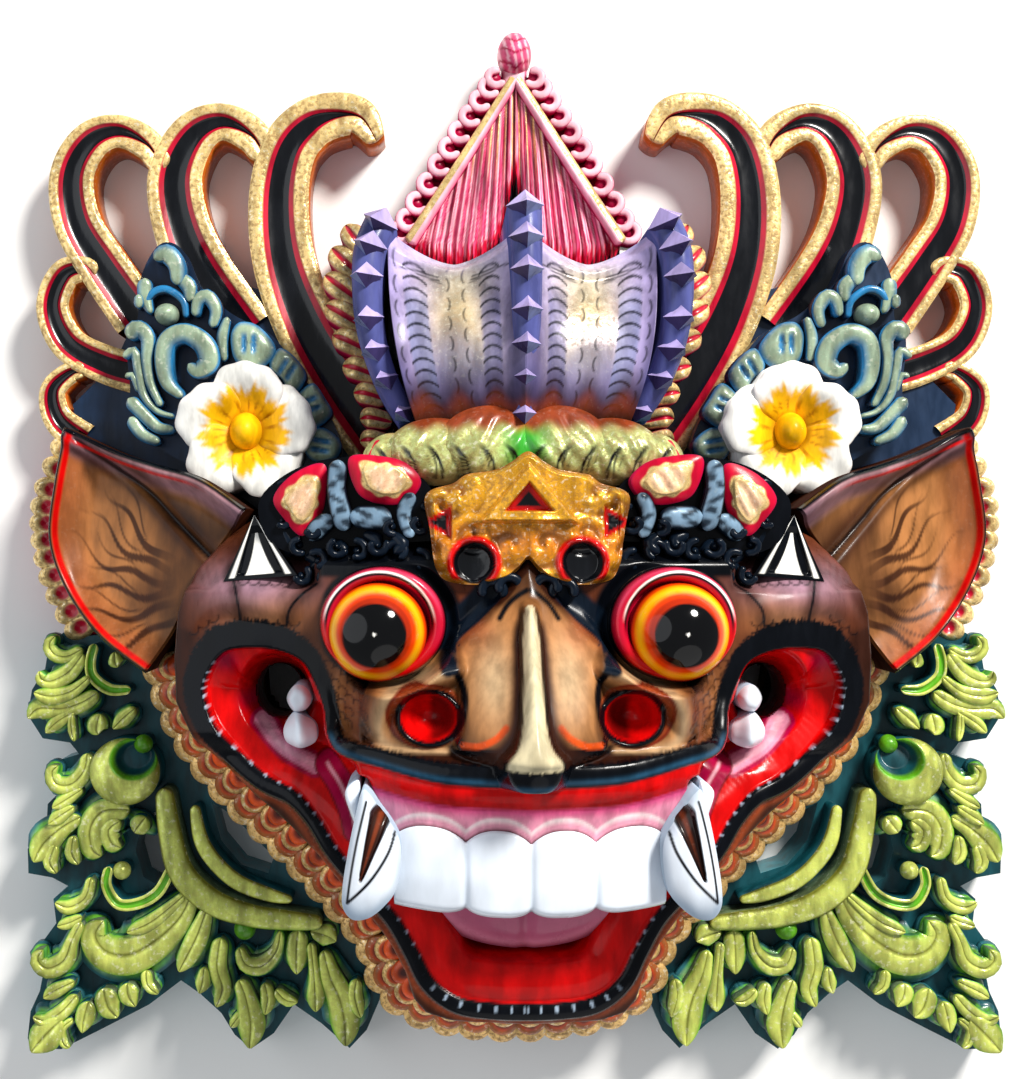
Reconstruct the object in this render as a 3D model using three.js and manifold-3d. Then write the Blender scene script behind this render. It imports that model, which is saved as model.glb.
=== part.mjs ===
// A carved and painted barong mask, cut from one block of light wood.
// It lies on its flat back: +Z comes out of the face, +Y points to the crown and +X to the viewer's right.
// Lengths are in millimetres. Every form that comes in pairs is described once, on the +X side.
import * as THREE from "three";
import { mergeVertices } from "three/addons/utils/BufferGeometryUtils.js";
import Module from "manifold-3d";

// Driving dimensions
const MASK_WIDTH = 274; // across the tips of the green leaves
const MASK_HEIGHT = 285; // from the lowest leaf tip to the top of the fin's knob
const PANEL_DEPTH = 15; // front of the pierced halo above the flat back
const LEAF_DEPTH = 13; // front of the ground that the green leaves stand on
const LEAF_RELIEF = 8; // height of a green frond above its ground
const CLUSTER_RELIEF = 13; // height of the blue fronds above the halo
const HEAD_FLOOR = 42; // floor of the open mouth above the back
const HOLLOW_DEPTH = 29; // depth of the hollow gouged into the back of the head
const EYE_SPREAD = 36; // from the middle line to the centre of an eye
const EYE_RADIUS = 12.5;
const EYE_FRONT = 84; // foremost point of an eyeball
const NOSE_FRONT = 104; // foremost point of the nose
const LIP_FRONT = 90; // foremost line of the upper lip
const JAW_FRONT = 65; // crest of the lower lip at the chin
const TOOTH_WIDTH = 15.6;
const TOOTH_HEIGHT = 20;
const TEETH = 4;
const FANG_LENGTH = 29;
const MOUTH_HOLE = 6; // radius of the hole through each corner of the mouth
const CROWN_FRONT = 68; // crest of the middle ridge of the crown
const RIDGE_TEETH = 7; // on each of the three ridges of the crown
const FIN_HEIGHT = 42; // from the foot of the fin to its point
const KNOB_LENGTH = 12; // of the bud on the fin's point
const FIN_HALF_WIDTH = 29;
const FIN_CURLS = 10; // along each side of the fin
const RUFF_LOBES = 32; // round the whole ruff
const FRILL_LOBES = 8; // behind each ear
const NOTCH_WIDTH = 24; // hanging notch cut into the back of the head
const NOTCH_HEIGHT = 8;
const NOTCH_DEPTH = 10;
const NOTCH_FOOT = 44; // lower edge of the notch above the middle of the mask
const FINEST = 0.25; // smaller steps are dropped where two forms meet

const wasm = await Module();
wasm.setup();

// The free carving is drawn on a sheet of this width and height, and spreads to those of the mask.
const SHEET = [274, 285];
const WIDE = MASK_WIDTH / SHEET[0];
const TALL = MASK_HEIGHT / SHEET[1];
const place = ([x, y, ...rest]) => [x * WIDE, y * TALL, ...rest];
const placed = (points) => points.map(place);
const onSheet = (x, y) => [x / WIDE, y / TALL];

// Curves

// A smooth curve through points of any number of coordinates, at the given parameter from 0 to 1.
function splineAt(points, share) {
  const last = points.length - 1;
  const place = Math.min(share * last, last - 1e-9);
  const index = Math.floor(place);
  const t = place - index;
  const pick = (i) => points[Math.max(0, Math.min(last, i))];
  const [a, b, c, d] = [pick(index - 1), pick(index), pick(index + 1), pick(index + 2)];
  return b.map((value, k) => {
    const slopeB = (c[k] - a[k]) / 2;
    const slopeC = (d[k] - value) / 2;
    const rise = c[k] - value;
    return value + t * (slopeB + t * (3 * rise - 2 * slopeB - slopeC + t * (slopeB + slopeC - 2 * rise)));
  });
}

function spline(points, steps) {
  return Array.from({ length: steps + 1 }, (_, i) => splineAt(points, i / steps));
}

// A closed outline through the given corners, smoothed with a few points between neighbours.
function smoothLoop(points, between) {
  const count = points.length;
  const loop = [];
  for (let i = 0; i < count; i += 1) {
    const span = [-1, 0, 1, 2].map((k) => points[(i + k + count) % count]);
    for (let k = 0; k < between; k += 1) {
      loop.push(splineAt(span, (1 + k / between) / 3));
    }
  }
  return loop;
}

function ellipse(x, y, across, along, count, turn = 0) {
  return Array.from({ length: count }, (_, i) => {
    const angle = (2 * Math.PI * i) / count;
    const [u, v] = [across * Math.cos(angle), along * Math.sin(angle)];
    return [x + u * Math.cos(turn) - v * Math.sin(turn), y + u * Math.sin(turn) + v * Math.cos(turn)];
  });
}

const smooth = (from, to, value) => {
  const t = Math.max(0, Math.min(1, (value - from) / (to - from)));
  return t * t * (3 - 2 * t);
};

const bell = (value, middle, width) => Math.exp(-(((value - middle) / width) ** 2));

// Solids

// Joins corners and triangles into a solid, turned right side out.
function solidFrom(corners, triangles) {
  const geometry = new THREE.BufferGeometry();
  geometry.setAttribute("position", new THREE.Float32BufferAttribute(corners.flat(), 3));
  geometry.setIndex(triangles.flat());
  return solidOf(geometry);
}

function solidOf(geometry) {
  const bare = geometry.clone();
  bare.deleteAttribute("normal");
  bare.deleteAttribute("uv");
  const merged = mergeVertices(bare, 1e-4);
  const corners = merged.attributes.position.array;
  const triangles = Array.from(merged.index.array);
  const whole = [];
  let volume = 0;
  for (let i = 0; i < triangles.length; i += 3) {
    const [a, b, c] = triangles.slice(i, i + 3);
    if (a !== b && b !== c && c !== a) {
      whole.push(a, b, c);
      const [pa, pb, pc] = [a, b, c].map((k) => new THREE.Vector3().fromArray(corners, 3 * k));
      volume += pa.dot(pb.cross(pc));
    }
  }
  if (volume < 0) {
    whole.reverse();
  }
  return new wasm.Manifold(
    new wasm.Mesh({
      numProp: 3,
      vertProperties: new Float32Array(corners),
      triVerts: new Uint32Array(whole),
      tolerance: FINEST,
    }),
  );
}

// Rings of equal count joined into a closed skin; a ring of one point closes an end to a tip.
function skin(rings, capEnds = true) {
  const corners = rings.flat();
  const triangles = [];
  const starts = [];
  let start = 0;
  for (const ring of rings) {
    starts.push(start);
    start += ring.length;
  }
  for (let r = 0; r + 1 < rings.length; r += 1) {
    const [near, far] = [rings[r].length, rings[r + 1].length];
    const count = Math.max(near, far);
    for (let i = 0; i < count; i += 1) {
      const j = (i + 1) % count;
      const a = starts[r] + (i % near);
      const b = starts[r] + (j % near);
      const c = starts[r + 1] + (i % far);
      const d = starts[r + 1] + (j % far);
      if (near > 1) {
        triangles.push([a, b, far > 1 ? d : c]);
      }
      if (far > 1) {
        triangles.push([a, d, c]);
      }
    }
  }
  if (capEnds) {
    [0, rings.length - 1].forEach((r) => {
      if (rings[r].length > 2) {
        triangles.push(...capTriangles(rings[r], starts[r], r === 0));
      }
    });
  }
  return solidFrom(corners, triangles);
}

// Triangles that close one flat ring.
function capTriangles(ring, start, first) {
  const origin = new THREE.Vector3(...ring[0]);
  const normal = new THREE.Vector3();
  ring.forEach((corner, i) => {
    const a = new THREE.Vector3(...corner).sub(origin);
    const b = new THREE.Vector3(...ring[(i + 1) % ring.length]).sub(origin);
    normal.add(a.cross(b));
  });
  normal.normalize();
  const across = new THREE.Vector3(...(Math.abs(normal.z) > 0.9 ? [1, 0, 0] : [0, 0, 1])).cross(normal).normalize();
  const along = normal.clone().cross(across);
  const flat = ring.map((corner) => {
    const p = new THREE.Vector3(...corner);
    return new THREE.Vector2(p.dot(across), p.dot(along));
  });
  return THREE.ShapeUtils.triangulateShape(flat, []).map((face) => {
    const [a, b, c] = face.map((k) => start + k);
    return first ? [c, b, a] : [a, b, c];
  });
}

// A carved band. The path holds [x, y, top, half width]; the section holds [share of the half width, drop].
function ribbon(path, section, base, steps, roundEnds = [0, 0]) {
  const length = path.length - 1;
  const shares = Array.from({ length: steps + 1 }, (_, i) => i / steps);
  const stations = shares.map((share) => splineAt(path, share));
  const rings = stations.map((station, i) => {
    const before = splineAt(path, Math.max(0, shares[i] - 0.2 / length));
    const after = splineAt(path, Math.min(1, shares[i] + 0.2 / length));
    const size = Math.hypot(after[0] - before[0], after[1] - before[1]);
    const [nx, ny] = [-(after[1] - before[1]) / size, (after[0] - before[0]) / size];
    const [x, y, top, half] = station;
    const shrink = endShare(shares[i], roundEnds);
    const ring = section.map(([across, drop]) => [
      x + nx * across * half * shrink,
      y + ny * across * half * shrink,
      Math.max(base, top - drop),
    ]);
    if (section[0][1] === TO_BASE) {
      return ring;
    }
    const [first, last] = [ring[0], ring[ring.length - 1]];
    return [[first[0], first[1], base], ...ring, [last[0], last[1], base]];
  });
  return skin(rings);
}

// How far a band has narrowed towards its rounded ends.
function endShare(share, [start, end]) {
  const fromStart = start > 0 ? Math.max(0, 1 - share / start) : 0;
  const fromEnd = end > 0 ? Math.max(0, 1 - (1 - share) / end) : 0;
  const gone = Math.min(0.86, Math.max(fromStart, fromEnd));
  return Math.sqrt(1 - gone * gone);
}

// A form that stands on a flat base inside an outline, with its top at height(x, y, share).
function mound(outline, base, rings, height) {
  const middle = outline.reduce((sum, p) => [sum[0] + p[0] / outline.length, sum[1] + p[1] / outline.length], [0, 0]);
  const levels = [outline.map(([x, y]) => [x, y, base])];
  for (let r = 0; r < rings; r += 1) {
    const share = 1 - (r / rings) ** 1.25;
    levels.push(
      outline.map(([px, py]) => {
        const x = middle[0] + (px - middle[0]) * share;
        const y = middle[1] + (py - middle[1]) * share;
        return [x, y, height(x, y, share)];
      }),
    );
  }
  levels.push([[middle[0], middle[1], height(middle[0], middle[1], 0)]]);
  return skin(levels);
}

function plate(outline, base, top, holes = []) {
  const shape = new THREE.Shape(outline.map(([x, y]) => new THREE.Vector2(x, y)));
  shape.holes = holes.map((hole) => new THREE.Path(hole.map(([x, y]) => new THREE.Vector2(x, y))));
  const geometry = new THREE.ExtrudeGeometry(shape, { depth: top - base, bevelEnabled: false });
  geometry.translate(0, 0, base);
  return solidOf(geometry);
}

// A round-ended lobe that points along the given angle, with a low peak along its middle.
function lobe(x, y, angle, long, wide, base, top) {
  const corners = [[0, -0.36], [0.7, -0.5], [1.05, 0], [0.7, 0.5], [0, 0.36]];
  const outline = corners.map(([along, across]) => [
    x + Math.cos(angle) * along * long - Math.sin(angle) * across * wide,
    y + Math.sin(angle) * along * long + Math.cos(angle) * across * wide,
  ]);
  return mound(outline, base, 1, (px, py, share) => top - 1.5 * share);
}

// A band of pointed lobes along a path: the lobes reach out to the right of the path, the valleys dip.
function scallops(path, count, { inner, valley, reach, top, dip, base }) {
  const columns = Array.from({ length: 2 * count + 1 }, (_, i) => {
    const share = i / (2 * count);
    const [x, y] = splineAt(path, share);
    const [ax, ay] = splineAt(path, Math.max(0, share - 0.01));
    const [bx, by] = splineAt(path, Math.min(1, share + 0.01));
    const size = Math.hypot(bx - ax, by - ay);
    const [nx, ny] = [(by - ay) / size, -(bx - ax) / size];
    const crest = i % 2 === 1;
    const out = crest ? reach : valley;
    const high = crest ? top : top - dip;
    return [
      [x - nx * inner, y - ny * inner, base],
      [x - nx * inner, y - ny * inner, high],
      [x + nx * out, y + ny * out, high - 1],
      [x + nx * out, y + ny * out, base],
    ];
  });
  return skin(columns);
}

function ball(x, y, z, radii, around = 14, up = 8) {
  const geometry = new THREE.SphereGeometry(1, around, up);
  geometry.rotateX(Math.PI / 2);
  geometry.scale(...radii);
  geometry.translate(x, y, z);
  return solidOf(geometry);
}

function join(solids) {
  return solids.flat(Infinity).reduce((whole, solid) => whole.add(solid));
}

function mirrored(solid) {
  const mesh = solid.getMesh();
  const corners = mesh.vertProperties.slice();
  for (let i = 0; i < corners.length; i += mesh.numProp) {
    corners[i] *= -1;
  }
  const triangles = mesh.triVerts.slice().reverse();
  return new wasm.Manifold(
    new wasm.Mesh({ numProp: mesh.numProp, vertProperties: corners, triVerts: triangles }),
  );
}

function pair(solids) {
  const one = join(solids);
  return [one, mirrored(one)];
}

// Sections of the carved bands, from one edge to the other
const TO_BASE = Infinity;
const CHANNEL = [[-1, 0], [0, 1.6], [1, 0]];
const ROOF = [[-1, TO_BASE], [0, 0], [1, TO_BASE]];
const ROUNDED = [[-1, 2.2], [-0.5, 0.4], [0.5, 0.4], [1, 2.2]];
const KEEL = [[-1, 3], [0, 0], [1, 3]];

// Halo

const GROUND = PANEL_DEPTH - 3; // plain ground behind the ears and the blue leaves

// The five scrolls of one side: middle line, half width, and how they end.
const SCROLLS = [
  [[39, 113, 3], [45, 121.5, 5], [56, 119, 6.6], [64, 110, 7.8], [66, 97, 8.4], [64.5, 80, 8.8], [58, 62, 9.2],
    [48, 45, 9.6], [36, 28, 10]],
  [[74, 117, 4], [82, 119, 5.2], [90, 115, 6.6], [95, 104, 7.6], [93.5, 91, 8], [88, 78, 8.6], [76, 60, 9]],
  [[103.5, 114, 3.6], [111, 116.5, 4.6], [119, 113.5, 5.6], [124, 104, 6.2], [122.5, 91, 6.6], [115.5, 79, 7],
    [105, 64, 7.4]],
  [[112, 73.5, 3], [119, 77.5, 3.6], [126.5, 76, 4.4], [129.5, 67, 4.6], [125, 57, 5], [114, 51, 5.4], [102, 48, 6]],
  [[117, 45.5, 2.6], [123, 48.5, 3], [129.5, 44, 3.6], [128, 36, 4.2], [121, 30, 5]],
].map(placed);

const SCROLL_STEP = 0.4; // each scroll lies a little behind the one nearer the crown

function halo() {
  const arms = SCROLLS.map((points, i) =>
    ribbon(
      points.map(([x, y, half], k) => [x, y, PANEL_DEPTH - SCROLL_STEP * i - 0.02 * k, half]),
      CHANNEL,
      0,
      points.length - 1,
      [i === 0 ? 0 : 0.1, 0],
    ),
  );
  const beak = plate(placed([[37, 113.5], [43.5, 116], [48, 120], [44, 126], [39, 122.5]]), 0, PANEL_DEPTH - 1);
  const ground = plate(
    placed([[26, 26], [44, 62], [64, 70], [84, 76], [104, 70], [112, 52], [124, 40], [122, 26], [122, -4],
      [108, -24], [92, -36], [70, -10]]),
    0,
    GROUND,
  );
  return pair([...arms, beak, ground]);
}

// Blue leaf cluster with its scroll

// Each lobe: place, direction in turns of the half circle from +X, length and width.
const CLUSTER_LOBES = [
  [96, 66, 0.42, 17, 10], [89, 62, 0.66, 10, 9], [77, 52, 0.62, 10, 11], [67, 45, 0.72, 10, 10],
  [58, 34, 0.8, 9, 10], [100, 60, 0.16, 8, 8], [102, 50, 0.04, 7, 9], [101, 40, -0.1, 7, 8], [98, 32, -0.12, 8, 7],
].map(place);

// Its scroll: middle line and half width.
const CLUSTER_SCROLL = [[90.4, 40.7, 1.4], [94.8, 45.4, 2.4], [95.4, 53, 2.8], [89.8, 57.6, 3], [84.2, 53.6, 3.2],
  [85, 48.4, 2.6], [88.8, 49.4, 1.6]].map(place);

function cluster() {
  const top = PANEL_DEPTH + CLUSTER_RELIEF;
  const ground = plate(
    placed([[51, 24], [54, 38], [66, 54], [80, 64], [92, 76], [101, 72], [106, 52], [103, 32], [90, 24]]),
    GROUND,
    top - 7,
  );
  const lobes = CLUSTER_LOBES.map(([x, y, angle, long, wide]) =>
    lobe(x, y, Math.PI * angle, long, wide, top - 7, top),
  );
  const scroll = ribbon(
    CLUSTER_SCROLL.map(([x, y, half]) => [x, y, top + 1, half]),
    ROOF,
    top - 7,
    CLUSTER_SCROLL.length,
    [0.1, 0.1],
  );
  const bead = ball(...place([95.2, 63.3]), top - 4, [3, 3, 5], 6, 4);
  return pair([ground, lobes, scroll, bead]);
}

// Frangipani flower on each side: five overlapping petals round a cup

const FLOWER = place([73, 31]);
const FLOWER_RADIUS = 17;
const PETALS = 5;

function flower() {
  const top = PANEL_DEPTH + CLUSTER_RELIEF + 8;
  const petals = Array.from({ length: PETALS }, (_, i) => {
    const angle = 0.5 + (2 * Math.PI * i) / PETALS;
    const outline = ellipse(
      FLOWER[0] + 0.52 * FLOWER_RADIUS * Math.cos(angle),
      FLOWER[1] + 0.52 * FLOWER_RADIUS * Math.sin(angle),
      0.52 * FLOWER_RADIUS,
      0.44 * FLOWER_RADIUS,
      6,
      angle,
    );
    return mound(outline, 20, 1, (x, y, share) => {
      const out = Math.hypot(x - FLOWER[0], y - FLOWER[1]) / FLOWER_RADIUS;
      return top - 5 + 5 * smooth(0.2, 0.8, out) - 1.6 * share ** 2;
    });
  });
  const pistil = ball(FLOWER[0], FLOWER[1], top - 8, [6, 6, 8], 8, 6);
  return pair([petals, pistil]);
}

// Ear: a pointed bat-like shell, hollowed at the front

const EAR_OUTLINE = placed([[71, 10], [83, 18], [96, 22], [108, 26], [122, 32], [125, 18], [126.5, 2], [121, -13],
  [110, -25], [97, -33], [91, -22], [84, -8]]);
const EAR_RISE = 20; // from the tip of the ear to its root
const EAR_HOLLOW = 11; // from the rim of the ear down to its bowl

function ear() {
  const shell = mound(EAR_OUTLINE, GROUND / 2, 3, (x, y, share) => {
    const [across, up] = onSheet(x, y);
    const fold = 5 * bell(up - 0.6 * across, -48, 7) * (1 - share);
    const rim = PANEL_DEPTH + 10 + EAR_RISE * smooth(125, 74, across);
    return rim - EAR_HOLLOW * (1 - smooth(0.5, 1, share)) + fold;
  });
  return pair([shell]);
}

function earFrill() {
  const path = placed([[122, -25], [129, -12], [132.5, 2], [132, 15], [126, 30]]);
  return pair([
    scallops(path, FRILL_LOBES, { inner: 13, valley: -1, reach: 3.5, top: PANEL_DEPTH, dip: 4, base: 0 }),
  ]);
}

// Fin behind the crown: a fluted triangle edged with curls, and a knob at its point

const TOP_EDGE = 144.5 * TALL; // top of the knob above the middle of the mask
const RIB_RISE = 5; // of the ribs above the fin's face

function fin() {
  const knobMiddle = TOP_EDGE - KNOB_LENGTH / 2;
  const peak = knobMiddle - 0.88 * KNOB_LENGTH;
  const foot = peak - FIN_HEIGHT;
  const face = mound(
    [[-FIN_HALF_WIDTH, foot - 12], [FIN_HALF_WIDTH, foot - 12], [FIN_HALF_WIDTH, foot], [0, peak],
      [-FIN_HALF_WIDTH, foot]],
    0,
    2,
    (x, y, share) => PANEL_DEPTH + 2 + 3 * share,
  );
  const rib = ribbon(
    [[0, peak + 1, 1.8], [FIN_HALF_WIDTH / 2, (peak + foot) / 2, 1.9], [FIN_HALF_WIDTH + 1, foot, 2]].map(
      ([x, y, half]) => [x, y, PANEL_DEPTH + 2 + RIB_RISE, half],
    ),
    KEEL,
    0,
    3,
  );
  const edge = [[4, peak + 4], [FIN_HALF_WIDTH / 2 + 2.5, (peak + foot) / 2 + 2.5], [FIN_HALF_WIDTH + 1, foot + 1]];
  const curls = scallops(edge.reverse(), FIN_CURLS, {
    inner: 4,
    valley: 0.5,
    reach: 6,
    top: PANEL_DEPTH + 2.5,
    dip: 5,
    base: 4,
  });
  const knob = ball(0, knobMiddle, 11, [4.6, KNOB_LENGTH / 2, 8], 8, 6);
  const neck = plate([[-4, peak - 6], [4, peak - 6], [3.4, knobMiddle - 2], [-3.4, knobMiddle - 2]], 0, PANEL_DEPTH);
  return [face, neck, knob, ...pair([rib, curls])];
}

// Crown: two swelling shells between three toothed ridges, on a base of lobes

const SHELL_FOOT = 34 * TALL;
const SHELL_HEIGHT = 40 * TALL;
const SHELL_WIDTH = 33 * WIDE;

function crown() {
  const shells = Array.from({ length: 2 }, (_, side) => {
    const sign = side === 0 ? 1 : -1;
    const rows = Array.from({ length: 5 }, (_, r) => {
      const share = r / 4;
      const y = SHELL_FOOT + share * SHELL_HEIGHT;
      const width = SHELL_WIDTH - 7 * (1 - share) ** 2;
      const ring = Array.from({ length: 5 }, (_, c) => {
        const across = c / 4;
        const sag = 9 * share ** 3 * Math.abs(2 * across - 1) ** 1.5;
        const swell = CROWN_FRONT - 17 + 8.8 * Math.sin(Math.PI * Math.min(1, share + 0.12));
        return [sign * across * width, y + sag, swell - 7 * across ** 2 + 5 * Math.abs(2 * across - 1) ** 3];
      });
      return [...ring, [sign * width, y, 0], [0, y, 0]];
    });
    return skin(rows);
  });
  const middle = ridge(placed([[0, 85], [0.3, 72], [0.5, 56], [0, 42], [0, 31]]), CROWN_FRONT);
  const sideRidges = pair([ridge(placed([[35, 83], [38.5, 72], [38, 56], [34, 42], [28, 32]]), CROWN_FRONT - 9)]);
  return [...shells, middle, ...sideRidges];
}

// A toothed ridge down the crown
function ridge(points, front) {
  const path = spline(points, 2 * RIDGE_TEETH).map(([x, y], i) => {
    const share = i / (2 * RIDGE_TEETH);
    const top = front - 10 * (1 - Math.sin(Math.PI * (0.18 + 0.72 * share)));
    const tooth = i % 2;
    return [x, y, top - 2 + 4 * tooth, 3 + 2.4 * tooth * (1 - 0.4 * share)];
  });
  return ribbon(path, ROOF, 0, 2 * RIDGE_TEETH);
}

function crownBase() {
  const lobes = placed([[9, 27, 9, 8, 66], [23, 24, 9, 7, 62], [35, 20, 7, 8, 56]]).map((lobeSize) => {
    const [x, y, across, along, top] = lobeSize;
    return mound(ellipse(x, y, across, along, 8), 30, 2, (px, py, share) => top - 7 * share ** 2);
  });
  const sideLeaves = placed([[43, 74, 1, 10, 7], [39, 65, 0.7, 12, 8], [40, 55, 0.45, 11, 8], [36, 45, 0.1, 10, 8],
    [32, 35, -0.3, 10, 9]]).map(([x, y, angle, long, wide]) => lobe(x, y, angle, long, wide, 0, 30));
  return pair([lobes, sideLeaves]);
}

// Diadem above the nose, brow foliage and the small pointed plaques beside it

function diadem() {
  const outline = placed([[-24, 12], [-15, 17.5], [-6, 19.5], [0, 23], [6, 19.5], [15, 17.5], [24, 12], [22, -5],
    [8, -8], [-8, -8], [-22, -5]]);
  const body = mound(outline, 40, 2, (x, y, share) => 71 + 3 * bell(x, 0, 10) - 2 * share ** 3);
  const frame = ribbon(placed([[-9, 7, 77, 1.6], [0, 18.5, 79, 1.8], [9, 7, 77, 1.6]]), ROOF, 68, 2);
  const sill = ribbon(placed([[-10, 6.5, 77, 1.6], [0, 7.2, 77.5, 1.6], [10, 6.5, 77, 1.6]]), ROOF, 68, 1);
  const rings = pair([
    ribbon(
      placed(ellipse(13, -3.6, 6.4, 6.2, 8).concat([[19.4, -3.6]])).map(([x, y]) => [x, y, 76, 1.7]),
      ROOF,
      66,
      8,
    ),
  ]);
  return [body, frame, sill, ...rings];
}

const BROW_LOBES = [
  [28, 4, 1.5, 12, 8, 70], [36, 2, 1.3, 14, 9, 69], [45, 1, 1.15, 14, 9, 66], [54, -3, 0.9, 14, 9, 61],
  [31, 13, 1.3, 10, 11, 65], [42, 12, 1.2, 9, 8, 63], [53, 8, 0.9, 12, 12, 59],
].map(place);

function brow() {
  const lobes = BROW_LOBES.map(([x, y, angle, long, wide, top]) => lobe(x, y, angle, long, wide, 30, top));
  const arch = ribbon(placed([[24, -8, 76, 3], [34, -3, 75, 4], [46, -4, 71, 4], [55, -10, 66, 3]]), ROUNDED, 36, 4);
  const plaque = skin([
    placed([[57, -7, 30], [77, -8, 30], [69, 9, 30]]),
    placed([[58, -6.5, 57], [76, -7.5, 51], [69, 7.5, 54]]),
  ]);
  return pair([lobes, arch, plaque]);
}

// Head

const HEAD_OUTLINE = placed([[0, 40], [30, 37], [50, 28], [68, 14], [82, 2], [91, -14], [93, -32], [88, -46],
  [76, -58], [65, -72], [54, -86], [43, -100], [28, -113], [0, -118]]);

function wholeOutline(half) {
  return [...half, ...half.slice(1, -1).reverse().map(([x, y]) => [-x, y])];
}

function headHeight(x, y) {
  const [across, up] = onSheet(x, y);
  const upper = smooth(-58, -46, up);
  const cheek = 10 * bell(Math.abs(across), 72, 20) * bell(up, -8, 22);
  return HEAD_FLOOR + upper * (24 * bell(across, 0, 46) + cheek) * (1 - 0.3 * smooth(20, 40, up));
}

function head() {
  const outline = smoothLoop(wholeOutline(HEAD_OUTLINE), 1);
  const mass = mound(outline, 0, 4, (x, y, share) => headHeight(x, y) - 14 * smooth(0.82, 1, share));
  const cheeks = pair([
    ribbon(
      placed([[56, -19, 64, 4], [64, -12, 63, 6], [74, -8, 60, 7], [84, -12, 56, 7], [91, -24, 50, 5.5],
        [91, -40, 44, 4.5]]),
      ROUNDED,
      10,
      6,
    ),
  ]);
  return [mass, ...cheeks];
}

// Hollow of the back, gouged up under the face, and the holes through the corners of the mouth

const HOLLOW_OUTLINE = placed([[0, 24], [28, 22], [52, 12], [68, -6], [74, -28], [68, -48], [52, -66], [36, -86],
  [18, -98], [0, -100]]);
const MOUTH_CORNER = place([63, -36]);

function hollows() {
  const outline = wholeOutline(HOLLOW_OUTLINE);
  const bowl = mound(outline, -1, 3, (x, y, share) => HOLLOW_DEPTH - 10 * share ** 4);
  const holes = pair([plate(ellipse(...MOUTH_CORNER, MOUTH_HOLE, MOUTH_HOLE * 1.15, 10), -1, 80)]);
  const notch = plate(
    [[-NOTCH_WIDTH / 2, NOTCH_FOOT], [NOTCH_WIDTH / 2, NOTCH_FOOT], [NOTCH_WIDTH / 2, NOTCH_FOOT + NOTCH_HEIGHT],
      [-NOTCH_WIDTH / 2, NOTCH_FOOT + NOTCH_HEIGHT]],
    -1,
    NOTCH_DEPTH,
  );
  return [bowl, ...holes, notch];
}

function eyes() {
  const y = -19.5 * TALL;
  const lid = mound(ellipse(EYE_SPREAD, y, EYE_RADIUS + 3, EYE_RADIUS + 1.8, 12), 44, 1, (px, py, share) =>
    EYE_FRONT - 12 + 2.5 * (1 - share ** 4),
  );
  const eyeball = ball(EYE_SPREAD, y, EYE_FRONT - EYE_RADIUS, [EYE_RADIUS, EYE_RADIUS, EYE_RADIUS], 12, 6);
  return pair([lid, eyeball]);
}

// Nose: broad sides, a bony keel and two curled wings round the nostrils

function nose() {
  const half = placed([[0, -2], [9, -6], [19, -17], [30, -25], [37, -34], [36, -45], [20, -49], [0, -51]]);
  const sides = mound(wholeOutline(half), 40, 3, (x, y) => {
    const [across, up] = onSheet(x, y);
    const down = smooth(0, -42, up);
    return NOSE_FRONT - 34 + 22 * down * bell(across, 0, 30) - 4 * (1 - down) * Math.abs(across / 20);
  });
  const keel = ribbon(
    placed([[0, -6, NOSE_FRONT - 26, 3], [0, -20, NOSE_FRONT - 18, 3.4], [0, -34, NOSE_FRONT - 8, 3.2],
      [0, -44, NOSE_FRONT, 3.6], [0, -49, NOSE_FRONT - 2, 5.6]]),
    KEEL,
    66,
    6,
  );
  const wing = ribbon(
    placed([[13, -31, NOSE_FRONT - 14, 2.6], [20, -26.5, NOSE_FRONT - 11, 4], [29, -27.5, NOSE_FRONT - 12, 4.4],
      [35.5, -34, NOSE_FRONT - 15, 4], [35, -43, NOSE_FRONT - 20, 3.2]]),
    KEEL,
    60,
    5,
  );
  return [sides, keel, ...pair([wing])];
}

function nostrils() {
  return pair([ball(...place([24.2, -40]), NOSE_FRONT - 14, [6.6, 5.8, 9], 10, 6)]);
}

// Mouth: upper lip, gum, teeth, fangs, tongue and the jaw that runs up into both corners

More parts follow.
